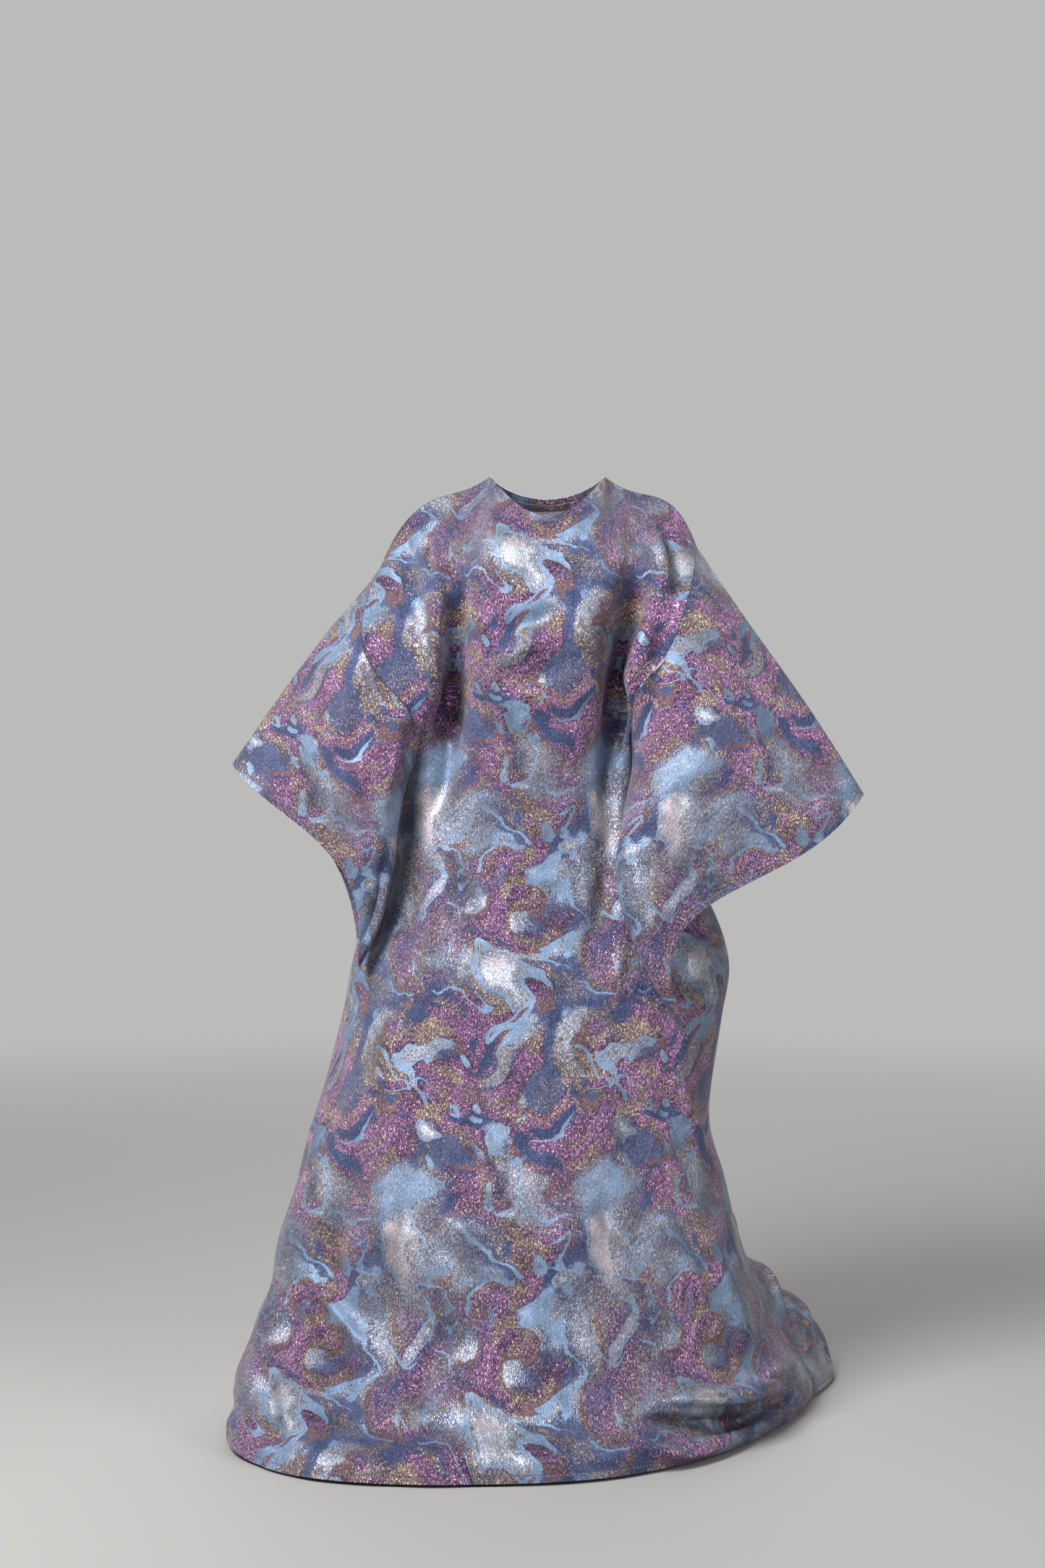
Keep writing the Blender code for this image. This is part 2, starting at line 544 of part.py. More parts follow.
def wall_mesh(name, outer, inner):
    """A closed wall between two grids of points with the same rows and columns."""
    rows, columns = outer.shape[:2]
    points = np.concatenate([outer.reshape(-1, 3), inner.reshape(-1, 3)])
    points[:, 2] -= CARRIED_HEIGHT
    index = np.arange(rows * columns).reshape(rows, columns)
    back = index + rows * columns
    faces = []
    for i in range(rows - 1):
        for j in range(columns - 1):
            a = (i, j)
            b = (i + 1, j)
            c = (i + 1, j + 1)
            d = (i, j + 1)
            falls = np.linalg.norm(outer[a] - outer[c]) < np.linalg.norm(outer[b] - outer[d])
            corners = ((a, b, c), (a, c, d)) if falls else ((a, b, d), (b, c, d))
            for triangle in corners:
                faces.append([int(index[corner]) for corner in triangle])
                faces.append([int(back[corner]) for corner in reversed(triangle)])
    rim = [int(i) for i in (*index[:, 0], *index[-1, 1:], *index[-2::-1, -1], *index[0, -2:0:-1])]
    for a, b in zip(rim, rim[1:] + rim[:1]):
        c = b + rows * columns
        d = a + rows * columns
        if np.linalg.norm(points[b] - points[d]) < np.linalg.norm(points[a] - points[c]):
            faces += [[b, a, d], [b, d, c]]
        else:
            faces += [[b, a, c], [a, d, c]]
    mesh = bpy.data.meshes.new(name)
    mesh.from_pydata(points.tolist(), [], faces)
    mesh.update()
    mesh.shade_smooth()
    mesh.set_sharp_from_angle(angle=np.radians(SHARP_EDGE))
    return mesh


def cloth_material(name, colour):
    """Plain cloth with a slight metallic sheen."""
    material = bpy.data.materials.new(name)
    material.use_nodes = True
    shader = material.node_tree.nodes["Principled BSDF"]
    shader.inputs["Base Color"].default_value = (*colour, 1)
    shader.inputs["Roughness"].default_value = CLOTH_ROUGHNESS
    shader.inputs["Metallic"].default_value = CLOTH_SHEEN
    return material


for old in list(bpy.data.objects):
    bpy.data.objects.remove(old, do_unlink=True)

GRIDS = panels()
NORMALS = shared_normals(GRIDS)
SHIFTS = seam_shifts(GRIDS)
for panel_name, outer_points in GRIDS.items():
    outer_points = outer_points + SHIFTS[panel_name]
    panel_mesh = wall_mesh(panel_name, outer_points, outer_points - NORMALS[panel_name] * WALL)
    panel_mesh.materials.append(cloth_material(panel_name, CLOTH[panel_name]))
    bpy.context.collection.objects.link(bpy.data.objects.new(panel_name, panel_mesh))
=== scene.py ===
"""A floor-length kaftan of marbled brocade with wide sleeves, as it hangs when worn.

Lengths are in metres, but in millimetres in the tables of the form. X runs from the left sleeve
to the right one as seen from the front, -Y is the front and +Z is up. Heights in the tables are
taken from the floor, and the whole garment is lowered by the height of the shoulders' carrying
point when its meshes are made.
"""
import bpy
import numpy as np
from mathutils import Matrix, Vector


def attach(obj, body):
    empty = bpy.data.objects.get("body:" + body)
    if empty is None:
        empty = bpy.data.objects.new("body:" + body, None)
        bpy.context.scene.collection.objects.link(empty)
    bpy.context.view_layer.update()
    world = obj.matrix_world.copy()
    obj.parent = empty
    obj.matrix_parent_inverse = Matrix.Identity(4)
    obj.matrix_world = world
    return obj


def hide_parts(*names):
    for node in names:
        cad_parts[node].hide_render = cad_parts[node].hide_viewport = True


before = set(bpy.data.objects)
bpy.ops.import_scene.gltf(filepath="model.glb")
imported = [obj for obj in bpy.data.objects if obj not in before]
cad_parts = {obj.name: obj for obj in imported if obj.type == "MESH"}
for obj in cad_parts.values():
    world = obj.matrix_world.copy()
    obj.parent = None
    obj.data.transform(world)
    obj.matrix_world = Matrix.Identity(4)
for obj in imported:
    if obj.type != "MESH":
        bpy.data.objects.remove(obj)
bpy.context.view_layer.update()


# Floor, light and camera
# A plain pale floor and soft studio lights: a big one high at the left, a weaker one at the
# right, and one behind for the back of the garment. The eye is 3.5 m in front, 0.92 m up.
CARRIED_HEIGHT = 1.36
PHOTO_HEIGHT = 2168
FOCAL_PIXELS = 3187
SENSOR = 36
EYE = (-0.0375, -3.5, 0.92)
FLOOR_REACH = 40
FLOOR_COLOUR = (0.35, 0.345, 0.335)
FLOOR_DULLNESS = 0.8
FLOOR_ENDS = (1.2, 5.5)
WALL_COLOUR = (0.585, 0.585, 0.58)
WALL_LIGHT = 0.85
ROOM_LIGHT = 0.255
AIM = Vector((0, 0, -0.6))
# Each light's place above the floor, its size and its power.
LIGHTS = [
    (-1.5, -1.9, 2.8, 1.4, 172),
    (3.0, -2.6, 2.2, 1.8, 50),
    (0.4, 3.2, 3.4, 2.8, 95),
]


def fill(tree, sockets, values):
    """Sets each named input to a value, or links it to another node."""
    for name, value in values.items():
        if isinstance(value, bpy.types.NodeSocket):
            tree.links.new(value, sockets[name])
        else:
            sockets[name].default_value = value


def add(tree, kind, inputs=None, **settings):
    """A new node, with its settings and its inputs as values or links."""
    node = tree.nodes.new(kind)
    for name, value in settings.items():
        setattr(node, name, value)
    fill(tree, node.inputs, inputs or {})
    return node


def stretched(tree, value, low, high, out_low=0.0, out_high=1.0):
    """A value spread from one range to another, softly at both ends."""
    inputs = {"Value": value, "From Min": low, "From Max": high, "To Min": out_low, "To Max": out_high}
    return add(tree, "ShaderNodeMapRange", inputs, interpolation_type="SMOOTHSTEP").outputs["Result"]


backdrop = bpy.data.worlds.new("studio")
bpy.context.scene.world = backdrop
backdrop.use_nodes = True
wall = backdrop.node_tree
eye_sees = add(wall, "ShaderNodeLightPath").outputs["Is Camera Ray"]
brightness = add(wall, "ShaderNodeMapRange", {"Value": eye_sees, "To Min": ROOM_LIGHT, "To Max": WALL_LIGHT})
fill(wall, wall.nodes["Background"].inputs, {
    "Color": (*WALL_COLOUR, 1),
    "Strength": brightness.outputs["Result"],
})
bpy.context.scene.view_settings.view_transform = "Standard"

floor_mesh = bpy.data.meshes.new("floor")
floor_mesh.from_pydata(
    [(x * FLOOR_REACH, y * FLOOR_REACH, -CARRIED_HEIGHT) for x, y in ((-1, -1), (1, -1), (1, 1), (-1, 1))],
    [], [(0, 1, 2, 3)],
)
floor = bpy.data.objects.new("floor", floor_mesh)
bpy.context.collection.objects.link(floor)
floor_paint = bpy.data.materials.new("floor")
floor_paint.use_nodes = True
paint = floor_paint.node_tree
near_floor = paint.nodes["Principled BSDF"]
fill(paint, near_floor.inputs, {"Base Color": (*FLOOR_COLOUR, 1), "Roughness": FLOOR_DULLNESS})
# Far away the floor rises into the wall, as a studio's paper roll does.
wall_glow = add(paint, "ShaderNodeEmission", {"Color": (*WALL_COLOUR, 1), "Strength": WALL_LIGHT})
floor_place = add(paint, "ShaderNodeTexCoord").outputs["Object"]
away = add(paint, "ShaderNodeVectorMath", {0: floor_place}, operation="LENGTH").outputs["Value"]
roll = add(paint, "ShaderNodeMixShader", {
    "Fac": stretched(paint, away, *FLOOR_ENDS),
    1: near_floor.outputs["BSDF"],
    2: wall_glow.outputs["Emission"],
})
fill(paint, paint.nodes["Material Output"].inputs, {"Surface": roll.outputs["Shader"]})
floor_mesh.materials.append(floor_paint)

for number, (x, y, z, size, power) in enumerate(LIGHTS):
    lamp = bpy.data.lights.new(f"softbox_{number}", "AREA")
    lamp.size = size
    lamp.energy = power
    softbox = bpy.data.objects.new(lamp.name, lamp)
    softbox.location = (x, y, z - CARRIED_HEIGHT)
    aim = AIM - softbox.location
    softbox.rotation_euler = aim.to_track_quat("-Z", "Y").to_euler()
    bpy.context.collection.objects.link(softbox)

lens = bpy.data.cameras.new("eye")
lens.sensor_width = SENSOR
lens.lens = FOCAL_PIXELS / PHOTO_HEIGHT * SENSOR
eye = bpy.data.objects.new("eye", lens)
eye.location = (EYE[0], EYE[1], EYE[2] - CARRIED_HEIGHT)
eye.rotation_euler = (np.pi / 2, 0, 0)
bpy.context.collection.objects.link(eye)
bpy.context.scene.camera = eye


# Brocade
# A stiff jacquard of blue satin with metal threads of silver, gold, pink and purple, woven in a
# marbled repeat and crinkled where the metal threads draw it in. Its wrong side is a dull mauve.
# The marbling is a plain one of like colours and scale, laid out by noise.
# The colour of the metal threads is painted lighter on the ridges of their crinkles and darker in the
# hollows: painted highlight and painted shade.
REPEAT_WIDTH = 0.30
REPEAT_HEIGHT = 0.64
NOISE_MIDDLE = 0.5
NOISE_ROUGHNESS = 0.55

# The noises that lay out the marbling. A slow drift and small curls bend the cloth's places, in
# metres, and three noises on the bent places have a scale, a detail and a shift each.
DRIFT_SCALE = 8.0
DRIFT_BEND = 0.17
CURL_SCALE = 30.0
CURL_SHIFT = 0.7
CURL_BEND = 0.019
MOTIFS = [
    (11.0, 1.6, 0.0),
    (11.5, 1.6, 0.37),
    (18.0, 1.5, 0.91),
]
# The threads: how far they are drawn out along the cloth, and the scales of single threads, of
# strokes and tufts of them, and of the puckers between them.
THREAD_STRETCH = (1.0, 0.42, 1.0)
GRAIN_SCALE = 860.0
STROKE_SCALE = 600.0
STROKE_DISTORTION = 0.8
TUFT_SCALE = 200.0
PUCKER_SCALE = 80.0
# How loosely threads scatter at the edge of a motif, from the tight parts to the loose ones.
GRAIN_SCATTER = 1.2
TUFT_SCATTER = 0.5
LOOSENESS = (0.38, 0.60, 0.20, 1.1)
# How much strokes and single threads paint glints into the colour, and between which values the painted
# glint sets in.
STROKE_GLINT = 2.6
GRAIN_GLINT = 0.9
GLINT_LOSS = -0.05
GLINT_RANGE = (0.25, 0.85)
CLOUDINESS = 1.5
# How high strokes, puckers and the weave itself stand, as shares of the depth of the relief.
STROKE_HEIGHT = 0.9
PUCKER_HEIGHT = 1.1
GRAIN_HEIGHT = 0.12
BUMP_DEPTH = 0.0036
SHEEN = 0.15
SHEEN_SPREAD = 0.4

# One row for each kind of weave: its ground, also painted shade in the hollows of the crinkles,
# its thread, also a painted highlight on their ridges, how much of it is metal, how dull it is,
# how strongly it is crinkled, and how much of the glinting thread shows.
WEAVES = {
    "silver": ((102, 105, 120), (168, 170, 182), 0.55, 0.38, 0.28, 0.44),
    "sky": ((98, 119, 148), (128, 150, 177), 0.20, 0.42, 0.20, 0.40),
    "periwinkle": ((68, 77, 116), (108, 116, 153), 0.32, 0.41, 1.00, 0.40),
    "deep blue": ((52, 62, 102), (80, 94, 138), 0.32, 0.41, 1.00, 0.40),
    "plum": ((66, 46, 76), (150, 108, 152), 0.52, 0.39, 1.20, 0.38),
    "pink": ((98, 70, 106), (222, 168, 212), 0.65, 0.33, 1.20, 0.42),
    "gold": ((100, 88, 94), (218, 190, 166), 0.62, 0.34, 0.90, 0.40),
    "rust": ((92, 66, 74), (146, 110, 104), 0.35, 0.44, 0.60, 0.40),
    "sand": ((146, 136, 144), (186, 176, 180), 0.38, 0.37, 0.12, 0.35),
    "pearl": ((140, 145, 158), (198, 202, 212), 0.45, 0.38, 0.15, 0.46),
}


def dye(colour):
    """A colour as the shaders take it."""
    share = np.array(colour) / 255
    linear = np.where(share <= 0.04045, share / 12.92, ((share + 0.055) / 1.055) ** 2.4)
    return (*[float(part) for part in linear], 1)


def maths(tree, operation, first, second=0.0, third=0.0):
    """The result of one arithmetic node."""
    return add(tree, "ShaderNodeMath", {0: first, 1: second, 2: third}, operation=operation).outputs[0]


def plus(tree, first, second):
    """The sum of two values."""
    return maths(tree, "ADD", first, second)


def minus(tree, first, second):
    """The first value less the second."""
    return maths(tree, "SUBTRACT", first, second)


def times(tree, first, second):
    """The product of two values."""
    return maths(tree, "MULTIPLY", first, second)


def scaled(tree, value, factor, start):
    """A value times a factor, on top of where it starts."""
    return maths(tree, "MULTIPLY_ADD", value, factor, start)


def blended(tree, share, first, second):
    """A colour between two others."""
    return add(tree, "ShaderNodeMix", {"Factor": share, 6: first, 7: second}, data_type="RGBA").outputs[2]


def fine_noise(tree, place, scale, detail=1.0, distortion=0.0):
    """Small noise on the flat cloth, around 0."""
    inputs = {"Vector": place, "Scale": scale, "Detail": detail, "Distortion": distortion}
    noise = add(tree, "ShaderNodeTexNoise", inputs, noise_dimensions="2D")
    return minus(tree, noise.outputs["Fac"], NOISE_MIDDLE)


def new_group(name, takes, gives):
    """An empty node group with named inputs and outputs."""
    group = bpy.data.node_groups.new(name, "ShaderNodeTree")
    for direction, sockets in (("INPUT", takes), ("OUTPUT", gives)):
        for label, kind in sockets.items():
            group.interface.new_socket(label, in_out=direction, socket_type="NodeSocket" + kind)
    return group, group.nodes.new("NodeGroupInput").outputs, group.nodes.new("NodeGroupOutput").inputs


def repeat_group():
    """Turns a place on the cloth into one on a ring of rings, so noise there repeats with the weave."""
    tree, given, result = new_group(
        "weaving_repeat", {"Across": "Float", "Along": "Float"}, {"Ring": "Vector", "Depth": "Float"}
    )
    circles = []
    for label, length in (("Across", REPEAT_WIDTH), ("Along", REPEAT_HEIGHT)):
        turn = times(tree, given[label], 2 * np.pi / length)
        for wave in ("COSINE", "SINE"):
            circles.append(times(tree, maths(tree, wave, turn), length / (2 * np.pi)))
    ring = add(tree, "ShaderNodeCombineXYZ", {"X": circles[0], "Y": circles[1], "Z": circles[2]})
    fill(tree, result, {"Ring": ring.outputs[0], "Depth": circles[3]})
    return tree


REPEAT = repeat_group()


def marbling(tree, across, along, scale, detail, shift=0.0):
    """Three smooth noises that repeat with the weave."""
    place = add(tree, "ShaderNodeGroup", {"Across": across, "Along": along}, node_tree=REPEAT).outputs
    inputs = {
        "Vector": place["Ring"],
        "W": plus(tree, place["Depth"], shift),
        "Scale": scale,
        "Detail": detail,
        "Roughness": NOISE_ROUGHNESS,
    }
    noise = add(tree, "ShaderNodeTexNoise", inputs, noise_dimensions="4D")
    return list(add(tree, "ShaderNodeSeparateColor", {"Color": noise.outputs["Color"]}).outputs)


def brocade_group():
    """The right side of the brocade at a place on the cloth, in metres."""
    gives = {"Colour": "Color", "Metal": "Float", "Dullness": "Float", "Height": "Float"}
    tree, given, result = new_group("marbled_brocade", {"Place": "Vector"}, gives)
    place = add(tree, "ShaderNodeSeparateXYZ", {"Vector": given["Place"]})
    across, along = place.outputs["X"], place.outputs["Y"]
    drift = marbling(tree, across, along, DRIFT_SCALE, detail=1.0)
    curl = marbling(tree, across, along, CURL_SCALE, detail=2.0, shift=CURL_SHIFT)
    bent = []
    for own, large, small in ((across, drift[0], curl[0]), (along, drift[1], curl[1])):
        moved = scaled(tree, minus(tree, large, NOISE_MIDDLE), DRIFT_BEND, own)
        bent.append(scaled(tree, minus(tree, small, NOISE_MIDDLE), CURL_BEND, moved))
    wide, mid, small = [marbling(tree, *bent, *motif) for motif in MOTIFS]
    pull = add(tree, "ShaderNodeMapping", {"Vector": given["Place"], "Scale": THREAD_STRETCH}).outputs[0]
    grain = fine_noise(tree, pull, GRAIN_SCALE, detail=1.5)
    tuft = fine_noise(tree, pull, TUFT_SCALE, detail=2.0)
    feather = plus(tree, times(tree, grain, GRAIN_SCATTER), times(tree, tuft, TUFT_SCATTER))
    loose = stretched(tree, drift[2], *LOOSENESS)

    def where(value, edge, scatter, below=False):
        """A mask of the places where a value passes an edge, scattered along it in single threads."""
        spread = times(tree, times(tree, feather, loose), scatter)
        return maths(tree, "LESS_THAN" if below else "GREATER_THAN", plus(tree, value, spread), edge)

    def both(first, second):
        """A mask of the places that lie in two masks."""
        return times(tree, first, second)

    def between(value, middle, half, scatter):
        """A mask of the places where a value lies near a middle one."""
        return both(where(value, middle - half, scatter), where(value, middle + half, scatter, below=True))

    def channels(weave):
        """The ground and thread colours of a weave, which also carry painted shade and highlight, its finish
        as a colour too, and its glint.
        """
        ground_and_shade, thread_and_highlight, metal, dullness, relief, glint = WEAVES[weave]
        return [dye(ground_and_shade), dye(thread_and_highlight), (metal, dullness, relief, 1)], glint

    # From the lowest layer up: its weave, and where it lies over the ones below.
    layers = [
        ("periwinkle", where(wide[0], 0.490, 0.45, below=True)),
        ("deep blue", both(where(wide[0], 0.425, 0.4, below=True), where(mid[2], 0.5, 0.4))),
        ("sky", where(mid[0], 0.432, 0.30, below=True)),
        ("plum", where(wide[1], 0.503, 0.50)),
        ("pink", both(where(wide[1], 0.530, 0.5), where(mid[1], 0.49, 0.6))),
        ("deep blue", both(where(wide[1], 0.52, 0.3), where(small[0], 0.43, 0.4, below=True))),
        ("rust", both(between(wide[1], 0.498, 0.014, 0.16), where(small[1], 0.49, 0.3))),
        ("gold", both(where(wide[1], 0.520, 0.6), where(small[0], 0.580, 0.6))),
        ("gold", both(between(wide[2], 0.50, 0.017, 0.34), where(small[2], 0.515, 0.5))),
        ("silver", where(mid[1], 0.440, 0.20, below=True)),
        ("sky", between(mid[1], 0.446, 0.009, 0.03)),
        ("sand", where(mid[1], 0.372, 0.16, below=True)),
        ("pearl", both(where(mid[1], 0.404, 0.18, below=True), where(small[0], 0.51, 0.2))),
        ("sky", both(between(wide[2], 0.55, 0.011, 0.04), where(small[1], 0.47, 0.06))),
    ]
    stacked, glint_share = channels("silver")
    for weave, mask in layers:
        own, glint = channels(weave)
        stacked = [blended(tree, mask, under, over) for under, over in zip(stacked, own)]
        kept = times(tree, minus(tree, 1.0, mask), glint_share)
        glint_share = plus(tree, kept, times(tree, mask, glint))
    ground_and_shade, thread_and_highlight, finish = stacked
    metal, dullness, relief = add(tree, "ShaderNodeSeparateColor", {"Color": finish}).outputs

    stroke = fine_noise(tree, pull, STROKE_SCALE, detail=2.0, distortion=STROKE_DISTORTION)
    pucker = fine_noise(tree, pull, PUCKER_SCALE, detail=1.5)
    shimmer = scaled(tree, stroke, STROKE_GLINT, glint_share)
    shimmer = plus(tree, shimmer, scaled(tree, grain, GRAIN_GLINT, GLINT_LOSS))
    # The strokes and grain that raise the crinkles also pick the colour: the thread colour on the ridges is
    # a painted highlight and the ground in the hollows is painted shade, over the two colours the weave has.
    colour = blended(tree, stretched(tree, shimmer, *GLINT_RANGE), ground_and_shade, thread_and_highlight)
    cloud = scaled(tree, minus(tree, curl[2], NOISE_MIDDLE), CLOUDINESS, 1.0)
    shaded = add(tree, "ShaderNodeVectorMath", {0: colour, "Scale": cloud}, operation="SCALE")
    ridge = plus(tree, times(tree, stroke, STROKE_HEIGHT), times(tree, pucker, PUCKER_HEIGHT))
    weave_height = times(tree, grain, GRAIN_HEIGHT)
    fill(tree, result, {
        "Colour": shaded.outputs[0],
        "Metal": metal,
        "Dullness": dullness,
        "Height": plus(tree, times(tree, ridge, relief), weave_height),
    })
    return tree


BROCADE = brocade_group()


# Seams are closed with a fine thread, and the turned edges are stitched down with a lighter one.
STITCH_THREAD = (124, 120, 138)
STITCH_FROM_EDGE = 0.009
STITCH_WIDTH = 0.0007
STITCH_LENGTH = 0.0045
STITCH_SLANT = 0.4
STITCH_RANGE = (-0.5, 0.0)
STITCH_DEPTH = -0.5
SEAM_GROOVE = 0.0016
SEAM_PUCKER = 0.012
SEAM_PUCKER_SCALE = 160.0
# Along each seam the colour is darkened towards this, as painted shade in the groove.
SEAM_PAINTED_SHADE = (40, 36, 52)
SEAM_DARKNESS = 0.6
FINISHING_HEIGHT = 0.5


def finishing_group():
    """Where the stitches, the seam grooves and the turned edges lie, and how high they stand."""
    gives = {"Stitch": "Float", "Groove": "Float", "Height": "Float"}
    tree, given, result = new_group("seams_and_edges", {"Place": "Vector", "Edges": "Vector"}, gives)
    edges = add(tree, "ShaderNodeSeparateXYZ", {"Vector": given["Edges"]}).outputs
    place = add(tree, "ShaderNodeSeparateXYZ", {"Vector": given["Place"]}).outputs
    off_line = maths(tree, "ABSOLUTE", minus(tree, edges["Y"], STITCH_FROM_EDGE))
    line = stretched(tree, off_line, STITCH_WIDTH * 2, STITCH_WIDTH)
    run = plus(tree, place["X"], times(tree, place["Y"], STITCH_SLANT))
    dash = maths(tree, "SINE", times(tree, run, 2 * np.pi / STITCH_LENGTH))
    stitch = times(tree, line, stretched(tree, dash, *STITCH_RANGE))
    groove = stretched(tree, edges["X"], SEAM_GROOVE, SEAM_GROOVE / 3)
    pucker = fine_noise(tree, given["Place"], SEAM_PUCKER_SCALE)
    drawn = times(tree, pucker, stretched(tree, edges["X"], SEAM_PUCKER, 0.0))
    fold = times(tree, line, STITCH_DEPTH)
    height = plus(tree, times(tree, groove, -1.0), plus(tree, drawn, fold))
    fill(tree, result, {"Stitch": stitch, "Groove": groove, "Height": height})
    return tree


FINISHING = finishing_group()


def cloth_material(name):
    """A new material with its nodes, its surface, its place on the cloth and the brocade there."""
    material = bpy.data.materials.new(name)
    material.use_nodes = True
    tree = material.node_tree
    place = add(tree, "ShaderNodeUVMap", uv_map="cloth").outputs["UV"]
    cloth = add(tree, "ShaderNodeGroup", {"Place": place}, node_tree=BROCADE).outputs
    return material, tree, tree.nodes["Principled BSDF"].inputs, place, cloth


def right_side():
    """The brocade as it is seen from outside."""
    material, tree, surface, place, cloth = cloth_material("brocade")
    edges = add(tree, "ShaderNodeUVMap", uv_map="edges").outputs["UV"]
    finishing = add(tree, "ShaderNodeGroup", {"Place": place, "Edges": edges}, node_tree=FINISHING).outputs
    height = scaled(tree, finishing["Height"], FINISHING_HEIGHT, cloth["Height"])
    bump = add(tree, "ShaderNodeBump", {"Height": height, "Distance": BUMP_DEPTH})
    sewn = blended(tree, finishing["Stitch"], cloth["Colour"], dye(STITCH_THREAD))
    # The seam grooves are darkened in colour: painted shade.
    shade = times(tree, finishing["Groove"], SEAM_DARKNESS)
    fill(tree, surface, {
        "Base Color": blended(tree, shade, sewn, dye(SEAM_PAINTED_SHADE)),
        "Metallic": cloth["Metal"],
        "Roughness": cloth["Dullness"],
        "Sheen Weight": SHEEN,
        "Sheen Roughness": SHEEN_SPREAD,
        "Normal": bump.outputs["Normal"],
    })
    return material


# The wrong side is matt, in its own colour with a share of the marbling, and finely ribbed.
WRONG_SIDE = (146, 138, 148)
WRONG_SIDE_SHARE = 0.24
WRONG_SIDE_DULLNESS = 0.8
WRONG_SIDE_SHEEN = 0.2
RIB_SCALE = 500.0
RIB_DEPTH = 0.0006


def wrong_side():
    """The dull back of the brocade, with the marbling showing faintly through."""
    material, tree, surface, place, cloth = cloth_material("brocade_wrong_side")
    bump = add(tree, "ShaderNodeBump", {"Height": fine_noise(tree, place, RIB_SCALE), "Distance": RIB_DEPTH})
    fill(tree, surface, {
        "Base Color": blended(tree, WRONG_SIDE_SHARE, dye(WRONG_SIDE), cloth["Colour"]),
        "Roughness": WRONG_SIDE_DULLNESS,
        "Sheen Weight": WRONG_SIDE_SHEEN,
        "Normal": bump.outputs["Normal"],
    })
    return material


OUTSIDE = right_side()
INSIDE = wrong_side()


# Sleeves
# Each wide sleeve is a front and a back of brocade, seamed over and under the arm and set into
# the armhole. It hangs open at the cuff, with the wrong side of the cloth showing inside.
SLEEVE_STATIONS = 84
ARMHOLE_ROWS = 60


# Columns of the tables that aren't lengths, but shares, places from -1 to 1, or shapes.
PLAIN_COLUMNS = "station down share t start_t end_t front_round back_round wave_x wave_y wave_z turn"
MILLIMETRES = 1000


def table(columns, rows):
    """The named columns of a short table, with its lengths turned into metres."""
    named = {name: np.array(values, float) for name, values in zip(columns.split(), zip(*rows))}
    plain = PLAIN_COLUMNS.split()
    return {name: part if name in plain else part / MILLIMETRES for name, part in named.items()}


def smooth(knots, values, at):
    """A smooth curve through the values at rising knots, read at other places."""
    knots = np.asarray(knots, float)
    values = np.asarray(values, float)
    at = np.asarray(at, float)
    gaps = np.diff(knots)
    rises = np.diff(values, axis=0) / gaps.reshape(-1, *[1] * (values.ndim - 1))
    slopes = np.empty_like(values)
    slopes[0] = rises[0]
    slopes[-1] = rises[-1]
    share = (gaps[:-1] / (gaps[:-1] + gaps[1:])).reshape(-1, *[1] * (values.ndim - 1))
    slopes[1:-1] = rises[:-1] * (1 - share) + rises[1:] * share
    cell = np.clip(np.searchsorted(knots, at, side="right") - 1, 0, len(gaps) - 1)
    shape = (-1, *[1] * (values.ndim - 1))
    gap = gaps[cell].reshape(shape)
    u = (at - knots[cell]).reshape(shape) / gap
    return (
        values[cell] * (1 + 2 * u) * (1 - u) ** 2
        + slopes[cell] * gap * u * (1 - u) ** 2
        + values[cell + 1] * u * u * (3 - 2 * u)
        + slopes[cell + 1] * gap * u * u * (u - 1)
    )


# Each row is one ring round the arm, from the armhole to the cuff. The top is the overarm
# seam and the low point is the underarm seam. The middle is bowed, and the front and back
# halves stand off it by their depths.
SLEEVE_COLUMNS = (
    "station top_x top_y top_z low_x low_y low_z bow_x bow_y bow_z front_depth back_depth"
)
RIGHT_SLEEVE = table(SLEEVE_COLUMNS, [
    (0.00, 227, -5, 1279, 126, -40, 962, 4, 0, 0, 80, 100),
    (0.08, 246, -8, 1251, 125, -64, 938, 8, -2, -1, 76, 90),
    (0.16, 266, -11, 1221, 118, -92, 910, 12, -3, -2, 70, 78),
    (0.30, 300, -18, 1170, 108, -130, 866, 20, -6, -5, 60, 64),
    (0.65, 386, -40, 1044, 104, -174, 745, 0, -10, 6, 44, 44),
    (0.85, 434, -52, 968, 146, -191, 640, -55, -8, 30, 38, 30),
    (1.00, 472, -60, 905, 197, -191, 551, -88, -6, 50, 34, 30),
])
LEFT_SLEEVE = table(SLEEVE_COLUMNS, [
    (0.00, -253, -5, 1249, -190, -40, 962, -42, 0, 0, 74, 98),
    (0.08, -268, -8, 1227, -203, -62, 938, -38, -1, -1, 72, 88),
    (0.16, -287, -11, 1204, -211, -86, 912, -38, -2, -2, 68, 76),
    (0.30, -320, -18, 1165, -218, -112, 870, -30, -4, -4, 60, 64),
    (0.65, -398, -38, 1058, -227, -132, 790, 0, -8, 4, 46, 50),
    (0.85, -440, -50, 996, -246, -126, 712, 34, -6, 18, 40, 44),
    (1.00, -470.5, -60, 950.5, -276, -118, 651, 52, -4, 22, 34, 38),
])
